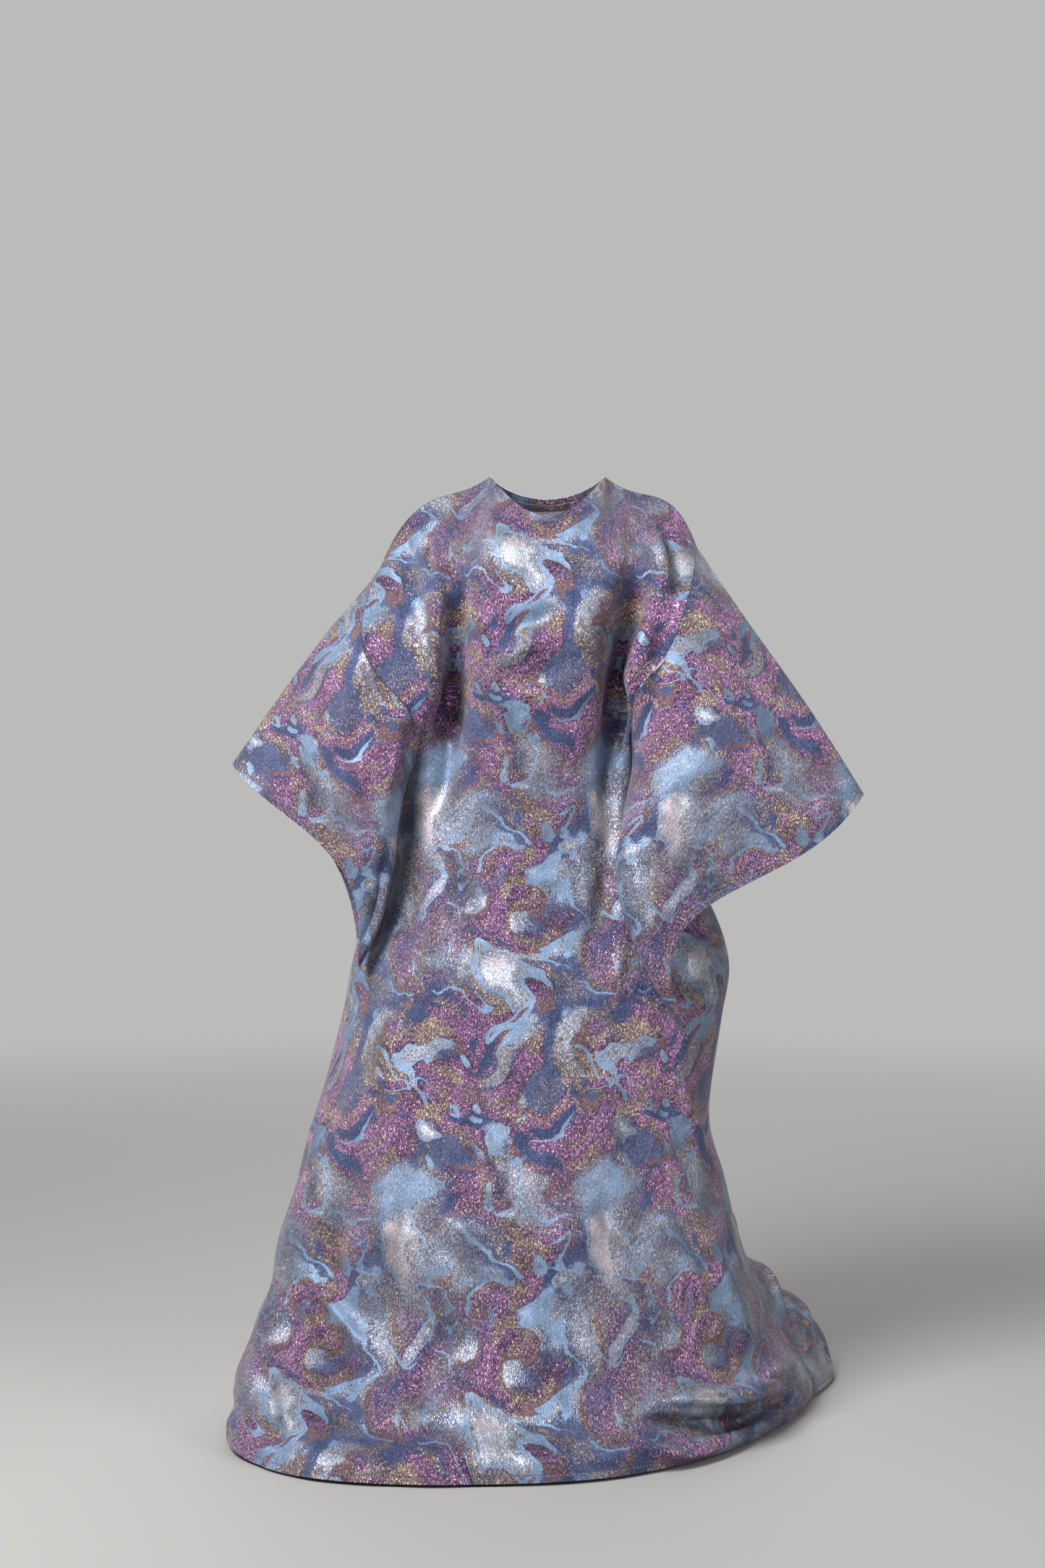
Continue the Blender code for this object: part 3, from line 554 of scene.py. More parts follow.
# Where the sleeves are sewn to the body. On the front the seam runs down the face of the
# fold beside the chest, over it, and back to the underarm.
ARMHOLE_COLUMNS = "down front_x front_y front_z back_x back_y back_z"
RIGHT_ARMHOLE = table(ARMHOLE_COLUMNS, [
    (0.00, 227, -5, 1279, 227, -5, 1279),
    (0.12, 220, -60, 1245, 227, 48, 1245),
    (0.30, 206, -100, 1190, 219, 78, 1185),
    (0.50, 182, -124, 1128, 205, 88, 1115),
    (0.68, 148, -129, 1080, 187, 82, 1055),
    (0.82, 126, -117, 1034, 166, 56, 1014),
    (0.90, 123, -92, 1003, 151, 22, 994),
    (0.95, 124, -68, 984, 139, -6, 979),
    (1.00, 126, -40, 962, 126, -40, 962),
])
LEFT_ARMHOLE = table(ARMHOLE_COLUMNS, [
    (0.00, -253, -5, 1249, -253, -5, 1249),
    (0.12, -264, -56, 1215, -262, 46, 1215),
    (0.30, -275, -96, 1160, -268, 76, 1160),
    (0.50, -266, -115, 1105, -262, 86, 1098),
    (0.68, -236, -121, 1064, -245, 78, 1048),
    (0.82, -206, -112, 1030, -226, 52, 1012),
    (0.90, -196, -90, 1003, -212, 20, 994),
    (0.95, -192, -67, 984, -202, -7, 979),
    (1.00, -190, -40, 962, -190, -40, 962),
])
# How far down the ring its bow is deepest, at the armhole and at each cuff, and how much
# sharper the bow is at the cuff.
ARMHOLE_PEAK = 0.5
CUFF_PEAK = {-1: 0.6, 1: 0.69}
CUFF_SHARPENING = 0.3
ARMHOLE_FADE = 0.34
EVEN_SHARE = 0.4


def armhole_shares():
    """How far down the sleeve each ring point lies, close together at the two seams."""
    even = np.linspace(0, 1, ARMHOLE_ROWS + 1)
    return EVEN_SHARE * even + (1 - EVEN_SHARE) * (1 - np.cos(np.pi * even)) / 2


def armhole_edge(side, facing, down):
    """Points of one armhole seam, from the overarm (0) to the underarm (1)."""
    seam = RIGHT_ARMHOLE if side > 0 else LEFT_ARMHOLE
    label = "front_" if facing < 0 else "back_"
    return smooth(seam["down"], np.stack([seam[label + axis] for axis in "xyz"], axis=-1), down)


def sleeve_half(side, facing):
    """Points of the front (facing -1) or back (facing 1) of a sleeve, station by station."""
    rings = RIGHT_SLEEVE if side > 0 else LEFT_SLEEVE
    stations = np.linspace(0, 1, SLEEVE_STATIONS)
    down = armhole_shares()

    def read(name, at):
        """One column of the rings at other stations."""
        return smooth(rings["station"], rings[name], at)[:, None]

    def ring(at):
        """The rings at some stations, before they are drawn to the armhole."""
        full = 4 * down * (1 - down)
        peak = ARMHOLE_PEAK + (CUFF_PEAK[side] - ARMHOLE_PEAK) * at[:, None]
        skewed = down ** (np.log(ARMHOLE_PEAK) / np.log(peak))
        bow = (4 * skewed * (1 - skewed)) ** (1 + CUFF_SHARPENING * at[:, None])
        depth = read("front_depth" if facing < 0 else "back_depth", at)
        points = [
            read("top_" + axis, at) * (1 - down)
            + read("low_" + axis, at) * down
            + read("bow_" + axis, at) * bow
            for axis in "xyz"
        ]
        points[1] = points[1] + facing * depth * np.sqrt(full)
        return np.stack(points, axis=-1)

    to_seam = armhole_edge(side, facing, down) - ring(np.array([0.0]))[0]
    fade = np.clip(1 - stations / ARMHOLE_FADE, 0, 1) ** 2
    return ring(stations) + to_seam * fade[:, None, None]


# Front and back
# One whole front and one whole back of brocade run from the shoulders to the floor, joined at the
# shoulders and sides. The back is the longer one, and its hem lies on the floor as a short train.
# Across a panel t runs from -1 at the left seam to 1 at the right seam, as seen from the front.
SKIRT_ROWS = 156
PANEL_COLUMNS = 172
HALF_KNOTS = [0.0, 0.42, 0.56, 0.65, 0.76, 0.88, 1.0]
ACROSS_KNOTS = np.array([-knot for knot in HALF_KNOTS[:0:-1]] + HALF_KNOTS)
VALLEY_WIDTH = 0.017
COLUMN_PLACES = ([0, 0.30, 0.78, 1.0], [0, 0.36, 0.72, 1.0])
SKIRT_ROW_PLACES = ([0, 0.6, 1.0], [0, 0.8, 1.0])
SEAM_BLEND = 0.30
NECK_BLEND = 0.10
NECK_SHARE = 0.42
NECK_SIDE = (0.088, 0.010, 1.388)
NECK_FRONT_Y = -0.088
NECK_FRONT_Z = 1.318
NECK_BACK_Y = 0.078
NECK_BACK_Z = 1.362
SHOULDER_CROWN = {-1: 0.068, 1: 0.070}
SHOULDER_FULLNESS = {-1: 2.0, 1: 2.5}

# Sections of the chest above the underarms, top to bottom. The flank is where the chest
# starts to turn, the valley lies between chest and sleeve, the ridge is the fold over it, and
# the dent lies between that fold and the seam.
CHEST_PLACES = (
    ("flank", 0.15, 0.0),
    ("valley", 0.35, -0.5),
    ("valley", 0.50, 0.5),
    ("ridge", 0.65, 0.0),
    ("dent", 0.82, 0.0),
)
CHEST_COLUMNS = (
    "share z middle_y "
    "right_flank_x right_flank_y right_valley_x right_valley_y "
    "right_ridge_x right_ridge_y right_dent_x right_dent_y "
    "left_flank_x left_flank_y left_valley_x left_valley_y "
    "left_ridge_x left_ridge_y left_dent_x left_dent_y"
)
CHEST = table(CHEST_COLUMNS, [
    (0.18, 1262, -118, 98, -106, 135, -88, 167, -84, 192, -66,
     -104, -104, -146, -86, -184, -82, -216, -58),
    (0.38, 1196, -134, 94, -116, 126, -82, 158, -108, 182, -104,
     -106, -116, -138, -86, -168, -110, -204, -94),
    (0.58, 1130, -142, 88, -108, 112, -54, 130, -116, 158, -122,
     -110, -112, -136, -64, -164, -122, -202, -104),
    (0.76, 1060, -140, 82, -102, 99, -56, 106, -100, 120, -121,
     -116, -106, -144, -62, -164, -100, -190, -114),
    (0.92, 995, -132, 75, -101, 91, -76, 107, -77, 115, -83,
     -120, -102, -146, -78, -168, -78, -180, -81),
])
BACK_PLACES = (("flank", 0.2, 0.0), ("valley", 0.6, 0.0))
BACK_KNOTS = (0.0, 0.42, 0.72, 1.0)
UPPER_BACK_COLUMNS = (
    "share z middle_y right_flank_x right_flank_y right_valley_x right_valley_y "
    "left_flank_x left_flank_y left_valley_x left_valley_y"
)
UPPER_BACK = table(UPPER_BACK_COLUMNS, [
    (0.18, 1300, 104, 98, 94, 150, 78, -104, 94, -160, 76),
    (0.38, 1232, 122, 98, 116, 150, 94, -108, 116, -168, 92),
    (0.58, 1156, 128, 100, 122, 142, 88, -112, 122, -168, 86),
    (0.76, 1074, 126, 100, 116, 138, 78, -114, 116, -166, 78),
    (0.92, 1004, 120, 96, 106, 128, 60, -120, 106, -168, 60),
])

# Rings of the body below the underarms. A roundness of 2 is an ellipse, more is squarer.
SKIRT_COLUMNS = "z left right front back side_y front_round back_round train"
SKIRT = table(SKIRT_COLUMNS, [
    (962, -190, 126, -129, 118, -40, 1.7, 2.4, 0),
    (925, -194, 121, -127, 118, -26, 1.7, 2.3, 0),
    (885, -212, 132, -126, 120, -10, 1.7, 2.2, 0),
    (845, -240, 166, -130, 124, 4, 1.8, 2.2, 0),
    (795, -256, 212, -138, 130, 8, 2, 2.2, 0),
    (730, -275, 252, -155, 140, 6, 2.2, 2.2, 0),
    (650, -296, 276, -176, 152, 4, 2.3, 2.2, 0),
    (570, -311, 265, -200, 164, 0, 2.4, 2.2, 0),
    (490, -331, 251, -226, 175, -6, 2.4, 2.2, 0),
    (410, -350, 245, -253, 186, -14, 2.4, 2.2, 0),
    (330, -364, 266, -280, 198, -22, 2.5, 2.2, 0),
    (250, -384, 286, -309, 214, -30, 2.5, 2.2, 8),
    (175, -390, 312, -336, 240, -40, 2.5, 2.2, 40),
    (115, -396, 340, -362, 286, -50, 2.5, 2.2, 108),
    (66, -412, 366, -396, 336, -56, 2.5, 2.2, 148),
    (26, -424, 384, -436, 376, -60, 2.5, 2.2, 140),
])
TRAIN_T = 0.74
TRAIN_SPREAD = 0.17
TRAIN_TURN = 0.42
HEM_PULL = 0.90
HEM_REACH = 0.19
HEM_RISE = 0.0045
HEM_COLUMNS = "t x y"
FRONT_HEM = table(HEM_COLUMNS, [
    (-1.00, -438, -60),
    (-0.80, -445, -235),
    (-0.62, -409, -378),
    (-0.45, -340, -448),
    (-0.15, -150, -474),
    (0.12, 50, -480),
    (0.32, 148, -424),
    (0.58, 268, -305),
    (0.80, 352, -178),
    (1.00, 398, -50),
])
BACK_HEM = table(HEM_COLUMNS, [
    (-1.00, -438, -60),
    (-0.78, -410, 130),
    (-0.50, -310, 290),
    (-0.20, -140, 384),
    (0.15, 70, 408),
    (0.45, 285, 335),
    (0.68, 425, 205),
    (0.86, 446, 70),
    (1.00, 398, -50),
])

# The largest folds, as soft ridges (height above 0) and troughs (below 0) along a straight
# run over the panel. Down is the distance from the neck edge.
FOLD_COLUMNS = "start_t start_down end_t end_down width height"
FRONT_FOLDS = table(FOLD_COLUMNS, [
    (-0.62, 920, -0.80, 1400, 75, 30),
    (-0.50, 1140, -0.30, 1340, 60, -24),
    (0.32, 1330, 0.84, 1345, 30, 18),
    (0.36, 1385, 0.74, 1392, 24, -24),
    (-0.12, 980, 0.02, 1240, 50, 14),
    (0.10, 1020, 0.24, 1220, 45, 12),
    (-0.30, 620, -0.42, 900, 60, 12),
])
BACK_FOLDS = table(FOLD_COLUMNS, [
    (-0.46, 300, -0.62, 1300, 60, 22),
    (-0.18, 450, -0.26, 1360, 55, 18),
    (0.16, 400, 0.22, 1340, 55, 22),
    (0.50, 320, 0.60, 1280, 60, 20),
    (0.34, 800, 0.42, 1360, 50, -16),
    (-0.04, 900, -0.02, 1380, 50, -14),
])
FOLD_SPAN = 0.34
FOLD_SIDE_FADE = 0.12
FOLD_TOP_FADE = 0.10
FOLD_HEM_FADE = 0.06
FOLD_END_HEIGHT = 0.55


def ease(share):
    """A smooth step from 0 to 1."""
    share = np.clip(share, 0, 1)
    return share * share * (3 - 2 * share)


def bell(away, width):
    """1 in the middle, dying away over a width."""
    return np.exp(-((away / width) ** 2))


def ring_points(row, facing, t):
    """Half of one body ring: facing -1 is the front half and 1 the back half."""
    ring = {name: SKIRT[name][row] for name in SKIRT}
    middle = (ring["left"] + ring["right"]) / 2
    half = (ring["right"] - ring["left"]) / 2
    end_y = ring["front"] if facing < 0 else ring["back"]
    power = ring["front_round"] if facing < 0 else ring["back_round"]
    turn = np.asarray(t) * np.pi / 2
    x = middle + half * np.sign(turn) * np.abs(np.sin(turn)) ** (2 / power)
    y = ring["side_y"] + (end_y - ring["side_y"]) * np.abs(np.cos(turn)) ** (2 / power)
    if facing > 0:
        lobe = ring["train"] * bell(t - TRAIN_T, TRAIN_SPREAD) * np.cos(turn) ** 0.5
        x = x + lobe * np.cos(TRAIN_TURN)
        y = y + lobe * np.sin(TRAIN_TURN)
    return np.stack([x, y, np.full_like(x, ring["z"])], axis=-1)


def top_edge(facing, t):
    """The shoulder seams with the round neck between them."""
    neck_y = NECK_FRONT_Y if facing < 0 else NECK_BACK_Y
    neck_z = NECK_FRONT_Z if facing < 0 else NECK_BACK_Z
    side_x, side_y, side_z = NECK_SIDE
    points = []
    for place in np.atleast_1d(t):
        side = 1 if place > 0 else -1
        if abs(place) >= NECK_SHARE:
            along = (abs(place) - NECK_SHARE) / (1 - NECK_SHARE)
            start = np.array([side * side_x, side_y, side_z])
            end = armhole_edge(side, facing, np.array([0.0]))[0]
            crown = SHOULDER_CROWN[side] * 4 * along ** SHOULDER_FULLNESS[side] * (1 - along)
            points.append(start * (1 - along) + end * along + np.array([0, 0, crown]))
        else:
            turn = place / NECK_SHARE * np.pi / 2
            round_in = np.cos(turn)
            points.append([
                side_x * np.sin(turn),
                side_y + (neck_y - side_y) * round_in,
                side_z + (neck_z - side_z) * round_in ** 2,
            ])
    return np.array(points)


def upper_section(facing, row):
    """The points of one section above the underarms, from left seam to right seam."""
    chart, places = (CHEST, CHEST_PLACES) if facing < 0 else (UPPER_BACK, BACK_PLACES)
    z = chart["z"][row]
    halves = []
    for side, label in ((-1, "left_"), (1, "right_")):
        edge = armhole_edge(side, facing, chart["share"][row:row + 1])[0]
        half = [(0.0, chart["middle_y"][row], z)]
        for name, fall, widen in places:
            x = chart[label + name + "_x"][row] + side * widen * VALLEY_WIDTH
            half.append((x, chart[label + name + "_y"][row], z + (edge[2] - z) * fall))
        half.append(edge)
        halves.append(np.array(half) if facing < 0 else smooth(BACK_KNOTS, np.array(half), HALF_KNOTS))
    return np.concatenate([halves[0][:0:-1], halves[1]])


def sections(facing):
    """All sections of a body panel, from the neck edge to the hem."""
    hem = FRONT_HEM if facing < 0 else BACK_HEM
    hem_xy = smooth(hem["t"], np.stack([hem["x"], hem["y"]], axis=-1), ACROSS_KNOTS)
    rows = [top_edge(facing, ACROSS_KNOTS)]
    rows += [upper_section(facing, row) for row in range(len(CHEST["share"]))]
    rings = [ring_points(row, facing, ACROSS_KNOTS) for row in range(len(SKIRT["z"]))]
    pull = hem_xy - rings[-1][:, :2]
    for ring in rings:
        ring[:, :2] += pull * HEM_PULL * ease(1 - ring[0, 2] / HEM_REACH)
        rows.append(ring)
    rows.append(np.column_stack([hem_xy, np.full(len(ACROSS_KNOTS), HEM_RISE)]))
    return np.array(rows)


def row_places():
    """Where each section lies down the cloth, measured along the middle of the front."""
    middle = sections(-1)[:, len(ACROSS_KNOTS) // 2]
    steps = np.linalg.norm(np.diff(middle, axis=0), axis=1)
    return np.concatenate([[0], np.cumsum(steps)])


def across_places():
    """Columns of a body panel, closer together in the valleys beside the sleeves."""
    spread = smooth(*COLUMN_PLACES, np.linspace(0, 1, PANEL_COLUMNS // 2 + 1))
    return np.concatenate([-spread[:0:-1], spread])


def fold_relief(folds, t, down):
    """Height of the ridges and troughs at each point of a panel."""
    relief = np.zeros((len(down), len(t)))
    across, along = np.meshgrid(t * FOLD_SPAN, down)
    for start_t, start_down, end_t, end_down, width, height in zip(*folds.values()):
        run = np.array([(end_t - start_t) * FOLD_SPAN, end_down - start_down])
        length = np.linalg.norm(run)
        part = ((across - start_t * FOLD_SPAN) * run[0] + (along - start_down) * run[1]) / length ** 2
        inside = np.clip(part, 0, 1)
        away = np.hypot(
            across - start_t * FOLD_SPAN - inside * run[0],
            along - start_down - inside * run[1],
        )
        swell = FOLD_END_HEIGHT + (1 - FOLD_END_HEIGHT) * np.sin(np.pi * inside)
        relief += height * swell * bell(away, width)
    return relief


def grid_normals(grid):
    """Unit normals of a grid of points, out of the side seen with rows down and columns right."""
    down = np.gradient(grid, axis=0)
    right = np.gradient(grid, axis=1)
    normals = np.cross(right, -down)
    return normals / np.linalg.norm(normals, axis=-1, keepdims=True)


def body_panel(facing):
    """Outer points of the front (facing -1) or back (facing 1) panel, row by row."""
    places = row_places()
    underarm = places[1 + len(CHEST["share"])]
    chest_down = smooth(
        np.concatenate([[0], CHEST["share"], [1]]), places[: len(CHEST["share"]) + 2], armhole_shares()
    )
    even = np.linspace(0, 1, SKIRT_ROWS + 1)[1:]
    skirt_down = underarm + (places[-1] - underarm) * smooth(*SKIRT_ROW_PLACES, even)
    down = np.concatenate([chest_down, skirt_down])
    t = across_places()
    knots = sections(facing)
    grid = smooth(places, knots, down)
    grid = smooth(ACROSS_KNOTS, grid.swapaxes(0, 1), t).swapaxes(0, 1)

    # The edges that are sewn to other panels follow the same curves as those panels do.
    first_skirt = 1 + len(CHEST["share"])
    side_knots = knots[first_skirt:, [0, -1]]
    sides = smooth(places[first_skirt:], side_knots, skirt_down)
    for side, column in ((-1, 0), (1, -1)):
        edge = armhole_edge(side, facing, armhole_shares())
        seam = np.concatenate([edge, sides[:, 0 if side < 0 else 1]])
        shift = (seam - grid[:, column])[:, None, :]
        grid += shift * ease((side * t - 1) / SEAM_BLEND + 1)[None, :, None]
    shift = (top_edge(facing, t) - grid[0])[None]
    grid += shift * ease(1 - down / NECK_BLEND)[:, None, None]

    relief = fold_relief(FRONT_FOLDS if facing < 0 else BACK_FOLDS, t, down)
    relief *= ease((1 - np.abs(t)) / FOLD_SIDE_FADE)[None, :]
    relief *= (ease(down / FOLD_TOP_FADE) * ease((places[-1] - down) / FOLD_HEM_FADE))[:, None]
    grid += grid_normals(grid) * relief[..., None] * -facing
    grid[..., 2] = np.maximum(grid[..., 2], HEM_RISE)
    return grid


def panels():
    """Outer points of every panel, with its outside facing away from the wearer."""
    grids = {"front_panel": body_panel(-1), "back_panel": body_panel(1)[:, ::-1]}
    for side, hand in ((1, "right"), (-1, "left")):
        for facing, part in ((-1, "front"), (1, "back")):
            half = sleeve_half(side, facing).swapaxes(0, 1)
            grids[f"{hand}_sleeve_{part}"] = half[:, ::-1] if side * facing > 0 else half
    return grids


# Where panels meet, their normals are balanced in small steps towards the one that lies worst.
BALANCE_STEPS = 40
BALANCE_SHARE = 0.1
SAME_PLACE = 5


def shared_normals(grids):
    """Normals of every panel, the same on both sides of each seam and facing out of all."""
    normals = {name: grid_normals(grid) for name, grid in grids.items()}
    meeting = {}
    for name, grid in grids.items():
        for point, normal in zip(grid.reshape(-1, 3), normals[name].reshape(-1, 3)):
            meeting.setdefault(tuple(np.round(point, SAME_PLACE)), []).append(normal)
    joined = {}
    for key, group in meeting.items():
        group = np.array(group)
        mean = group.sum(axis=0)
        for _ in range(BALANCE_STEPS if len(group) > 1 else 0):
            mean /= np.linalg.norm(mean)
            mean += BALANCE_SHARE * group[np.argmin(group @ mean)]
        joined[key] = mean / np.linalg.norm(mean)
    shared = {}
    for name, grid in grids.items():
        found = [joined[tuple(np.round(point, SAME_PLACE))] for point in grid.reshape(-1, 3)]
        shared[name] = np.array(found).reshape(grid.shape)
    return shared


# Folds of the worn cloth
# The stiff brocade is pinched at the shoulders and the bust, is drawn down by the sleeves, and
# breaks where the long skirt meets the floor.

# Each row is one crease, a curve through three points, with its width at the left and at the
# right of a crease that runs down, and its height, below 0 for a trough. Rows for the front are
# in the plane of the shoulders, as the eye sees it.
CREASE_COLUMNS = "start_x start_z middle_x middle_z end_x end_z left right height"
CREASE_STEPS = 14
CREASE_REACH = 2.4
CREASE_TAPER = 0.32
FRONT_CREASES = table(CREASE_COLUMNS, [
    (150, 1307, 175, 1254, 166, 1203, 6, 9, 11.4),
    (179, 1318, 187, 1276, 182, 1235, 6, 9, -9.5),
    (122, 1274, 133, 1220, 118, 1153, 15, 13, -9.5),
    (173, 1232, 142, 1126, 118, 1017, 9, 14, 9.5),
    (118, 1029, 110, 869, 114, 725, 8, 15, 7.6),
    (179, 1186, 164, 1078, 146, 976, 14, 20, -11.4),
    (122, 916, 245, 898, 362, 918, 12, 22, -5.7),
    (122, 710, 190, 753, 251, 828, 14, 18, -5.7),
    (196, 880, 251, 990, 278, 1089, 26, 30, 7.6),
    (322, 1056, 364, 1001, 421, 957, 22, 26, -5.7),
    (218, 1219, 251, 1153, 311, 1089, 18, 22, 5.7),
    (136, 804, 146, 727, 185, 650, 8, 12, 5.7),
    (-89, 1080, -31, 1129, 54, 1153, 13, 12, 12.3),
    (-97, 1153, -39, 1164, 32, 1190, 14, 12, -9.5),
    (-62, 1050, -9, 1089, 61, 1104, 12, 12, -7.6),
    (-93, 1095, -69, 1056, -58, 1001, 11, 12, 6.6),
    (-119, 1186, -104, 1164, -73, 1152, 10, 8, 5.7),
    (37, 1157, 61, 1140, 74, 1109, 8, 10, 5.7),
    (-128, 1067, -93, 1021, -73, 957, 14, 14, -5.7),
    (48, 1062, 67, 1001, 61, 935, 12, 14, -5.7),
    (-73, 902, -13, 872, 48, 898, 14, 12, -4.7),
    (-102, 815, -18, 777, 64, 808, 13, 12, 4.7),
    (-192, 1318, -180, 1309, -165, 1301, 7, 7, -9.5),
    (-181, 1302, -183, 1271, -170, 1230, 6, 6, -11.4),
    (-165, 1274, -165, 1213, -169, 1157, 9, 10, 13.3),
    (-169, 1175, -173, 1094, -159, 1012, 8, 10, 13.3),
    (-212, 1265, -194, 1186, -174, 1065, 12, 10, -11.4),
    (-216, 1304, -213, 1279, -198, 1256, 5, 5, -7.6),
    (-229, 1269, -220, 1232, -199, 1190, 7, 8, 5.7),
    (-137, 1254, -128, 1199, -135, 1140, 12, 12, -7.6),
    (-360, 957, -343, 924, -330, 891, 9, 12, 5.7),
    (-238, 1122, -282, 1023, -315, 924, 18, 22, -7.6),
    (-216, 1056, -240, 946, -262, 848, 14, 14, 7.6),
    (-176, 1089, -201, 989, -225, 897, 6, 9, 5.7),
    (-315, 1122, -348, 1056, -370, 990, 20, 24, 5.7),
    (-282, 880, -269, 819, -264, 753, 8, 9, -5.7),
    (-224, 859, -257, 738, -284, 639, 11, 15, -15.2),
    (-165, 725, -179, 670, -187, 617, 8, 12, 9.5),
    (-145, 812, -124, 742, -93, 672, 17, 15, -9.5),
    (105, 815, 74, 700, 70, 582, 15, 18, -13.3),
    (120, 694, 106, 632, 98, 575, 8, 9, 7.6),
    (190, 496, 212, 424, 245, 329, 15, 9, 11.4),
    (163, 529, 171, 463, 190, 375, 12, 12, -7.6),
    (-62, 765, -49, 650, -57, 551, 16, 16, 5.7),
    (-216, 584, -249, 507, -273, 397, 16, 18, 7.6),
    (-315, 573, -324, 463, -341, 353, 12, 14, -7.6),
    (4, 650, 17, 529, 4, 419, 16, 18, -5.7),
    (-128, 551, -150, 441, -152, 353, 14, 14, -5.7),
    (-282, 397, -315, 265, -335, 145, 22, 20, -13.3),
    (-216, 463, -238, 298, -229, 145, 22, 26, 11.4),
    (-128, 441, -106, 287, -62, 156, 24, 22, -11.4),
    (-16, 419, 15, 287, 48, 134, 24, 22, 11.4),
    (105, 463, 136, 353, 179, 265, 22, 20, -11.4),
    (-378, 195, -317, 114, -258, 41, 11, 14, 12.3),
    (-365, 149, -330, 83, -273, 35, 16, 12, -9.5),
    (-385, 167, -375, 128, -341, 72, 7, 6, 11.4),
    (-396, 175, -433, 68, -468, -31, 24, 22, 13.3),
    (-473, -18, -468, -69, -449, -119, 18, 24, 13.3),
    (-422, 35, -422, -31, -400, -104, 13, 14, -11.4),
    (-141, 134, -185, 33, -225, -22, 11, 12, -15.2),
    (-165, 101, -176, 46, -201, -5, 10, 8, 7.6),
    (-153, 364, -160, 336, -164, 307, 9, 9, 7.6),
    (-97, 327, -94, 303, -89, 279, 9, 9, 7.6),
    (-161, 281, -89, 208, -7, 156, 11, 10, 9.5),
    (-183, 255, -117, 175, -40, 127, 11, 12, -7.6),
    (-352, -31, -225, -60, -62, -35, 14, 12, -4.7),
    (-62, -40, 26, -55, 116, -27, 12, 13, -3.8),
    (-304, -75, -183, -97, -40, -79, 12, 14, 2.8),
    (70, 309, 105, 244, 160, 197, 15, 15, -7.6),
    (163, 309, 201, 211, 251, 112, 12, 14, 7.6),
    (251, 244, 278, 145, 324, 46, 14, 8, 9.5),
    (-40, 134, -16, 79, 4, 2, 14, 16, 5.7),
    (111, 1089, 103, 990, 94, 848, 14, 13, -20.9),
    (-148, 1089, -154, 985, -183, 820, 14, 14, -20.9),
    (-183, 815, -209, 727, -216, 628, 14, 15, -9.5),
    (94, 880, 89, 760, 103, 650, 13, 14, -9.5),
    (149, -16, 267, -13, 377, 9, 7, 11, 13.3),
    (136, -38, 229, -51, 346, -40, 11, 9, -15.2),
    (116, -66, 206, -98, 311, -57, 7, 7, 11.4),
    (311, 46, 342, 22, 379, 24, 8, 8, -7.6),
])
# Rows for the back are laid over the flat cloth: across it from its middle, to the right as
# seen from behind, and up it.
BACK_CREASES = table(CREASE_COLUMNS, [
    (-235, 1270, -180, 1200, -140, 1080, 16, 14, -8.7),
    (240, 1250, 180, 1180, 150, 1060, 14, 16, -8.7),
    (-262, 1200, -226, 1100, -200, 960, 14, 18, 8.7),
    (262, 1190, 232, 1080, 205, 950, 18, 14, 8),
    (-80, 1300, 4, 1262, 84, 1296, 10, 11, -5.1),
    (-120, 1250, 10, 1214, 118, 1240, 12, 14, 4.6),
    (-20, 1180, 60, 1150, 130, 1160, 12, 14, -4.1),
    (-176, 1010, -80, 946, 30, 924, 12, 15, 6.1),
    (180, 990, 100, 930, -10, 888, 15, 12, 5.8),
    (-150, 955, -70, 905, 10, 884, 10, 12, -5.5),
    (150, 930, 80, 880, 0, 852, 12, 10, -4.9),
    (-120, 1120, -104, 1060, -116, 990, 12, 14, -5.2),
    (88, 1110, 100, 1040, 90, 975, 13, 12, -4.9),
    (-290, 920, -356, 560, -430, 180, 22, 18, -11.6),
    (-205, 850, -244, 520, -290, 160, 20, 26, 9.9),
    (-110, 780, -118, 440, -140, 60, 20, 17, -9.3),
    (20, 840, 14, 420, 30, 20, 24, 20, 8.4),
    (120, 760, 160, 420, 210, 40, 17, 22, -10.1),
    (220, 860, 282, 520, 350, 120, 24, 19, 9.6),
    (300, 800, 386, 480, 490, 140, 18, 21, -9),
    (80, 560, 92, 340, 110, 140, 12, 14, 5.8),
    (-46, 520, -52, 300, -40, 100, 13, 12, -5.5),
    (-180, 460, -200, 280, -210, 110, 12, 13, -6.1),
    (450, 420, 520, 260, 600, 120, 16, 14, 7.2),
    (260, 340, 270, 200, 262, 60, 12, 15, -5.8),
    (-420, 560, -470, 400, -540, 250, 15, 17, 7),
    (-340, 300, -400, 220, -470, 170, 12, 14, 8.7),
    (-650, 120, -520, 75, -370, 110, 14, 12, 13),
    (-660, 70, -520, 30, -350, 50, 11, 12, -13),
    (-640, 15, -500, -20, -330, 0, 12, 12, 8.7),
    (-300, 60, -180, 30, -50, 50, 12, 14, 8.7),
    (-280, 15, -160, -15, -30, 5, 10, 10, -7.2),
    (60, 20, 180, -10, 320, 30, 11, 13, 7.2),
    (360, 80, 470, 60, 590, 90, 10, 14, -7),
])
# Rows for the back of a sleeve run out from the armhole, and up from the seam under the arm.
SLEEVE_CREASES = table(CREASE_COLUMNS, [
    (20, 300, 120, 250, 250, 235, 12, 16, 7.2),
    (15, 230, 110, 190, 210, 180, 12, 12, -7.2),
    (20, 150, 110, 130, 240, 140, 14, 14, 6.1),
    (20, 90, 120, 75, 260, 95, 11, 13, -5.8),
    (180, 330, 260, 250, 330, 130, 18, 20, 5.8),
    (240, 320, 300, 240, 350, 150, 14, 14, -5.5),
])
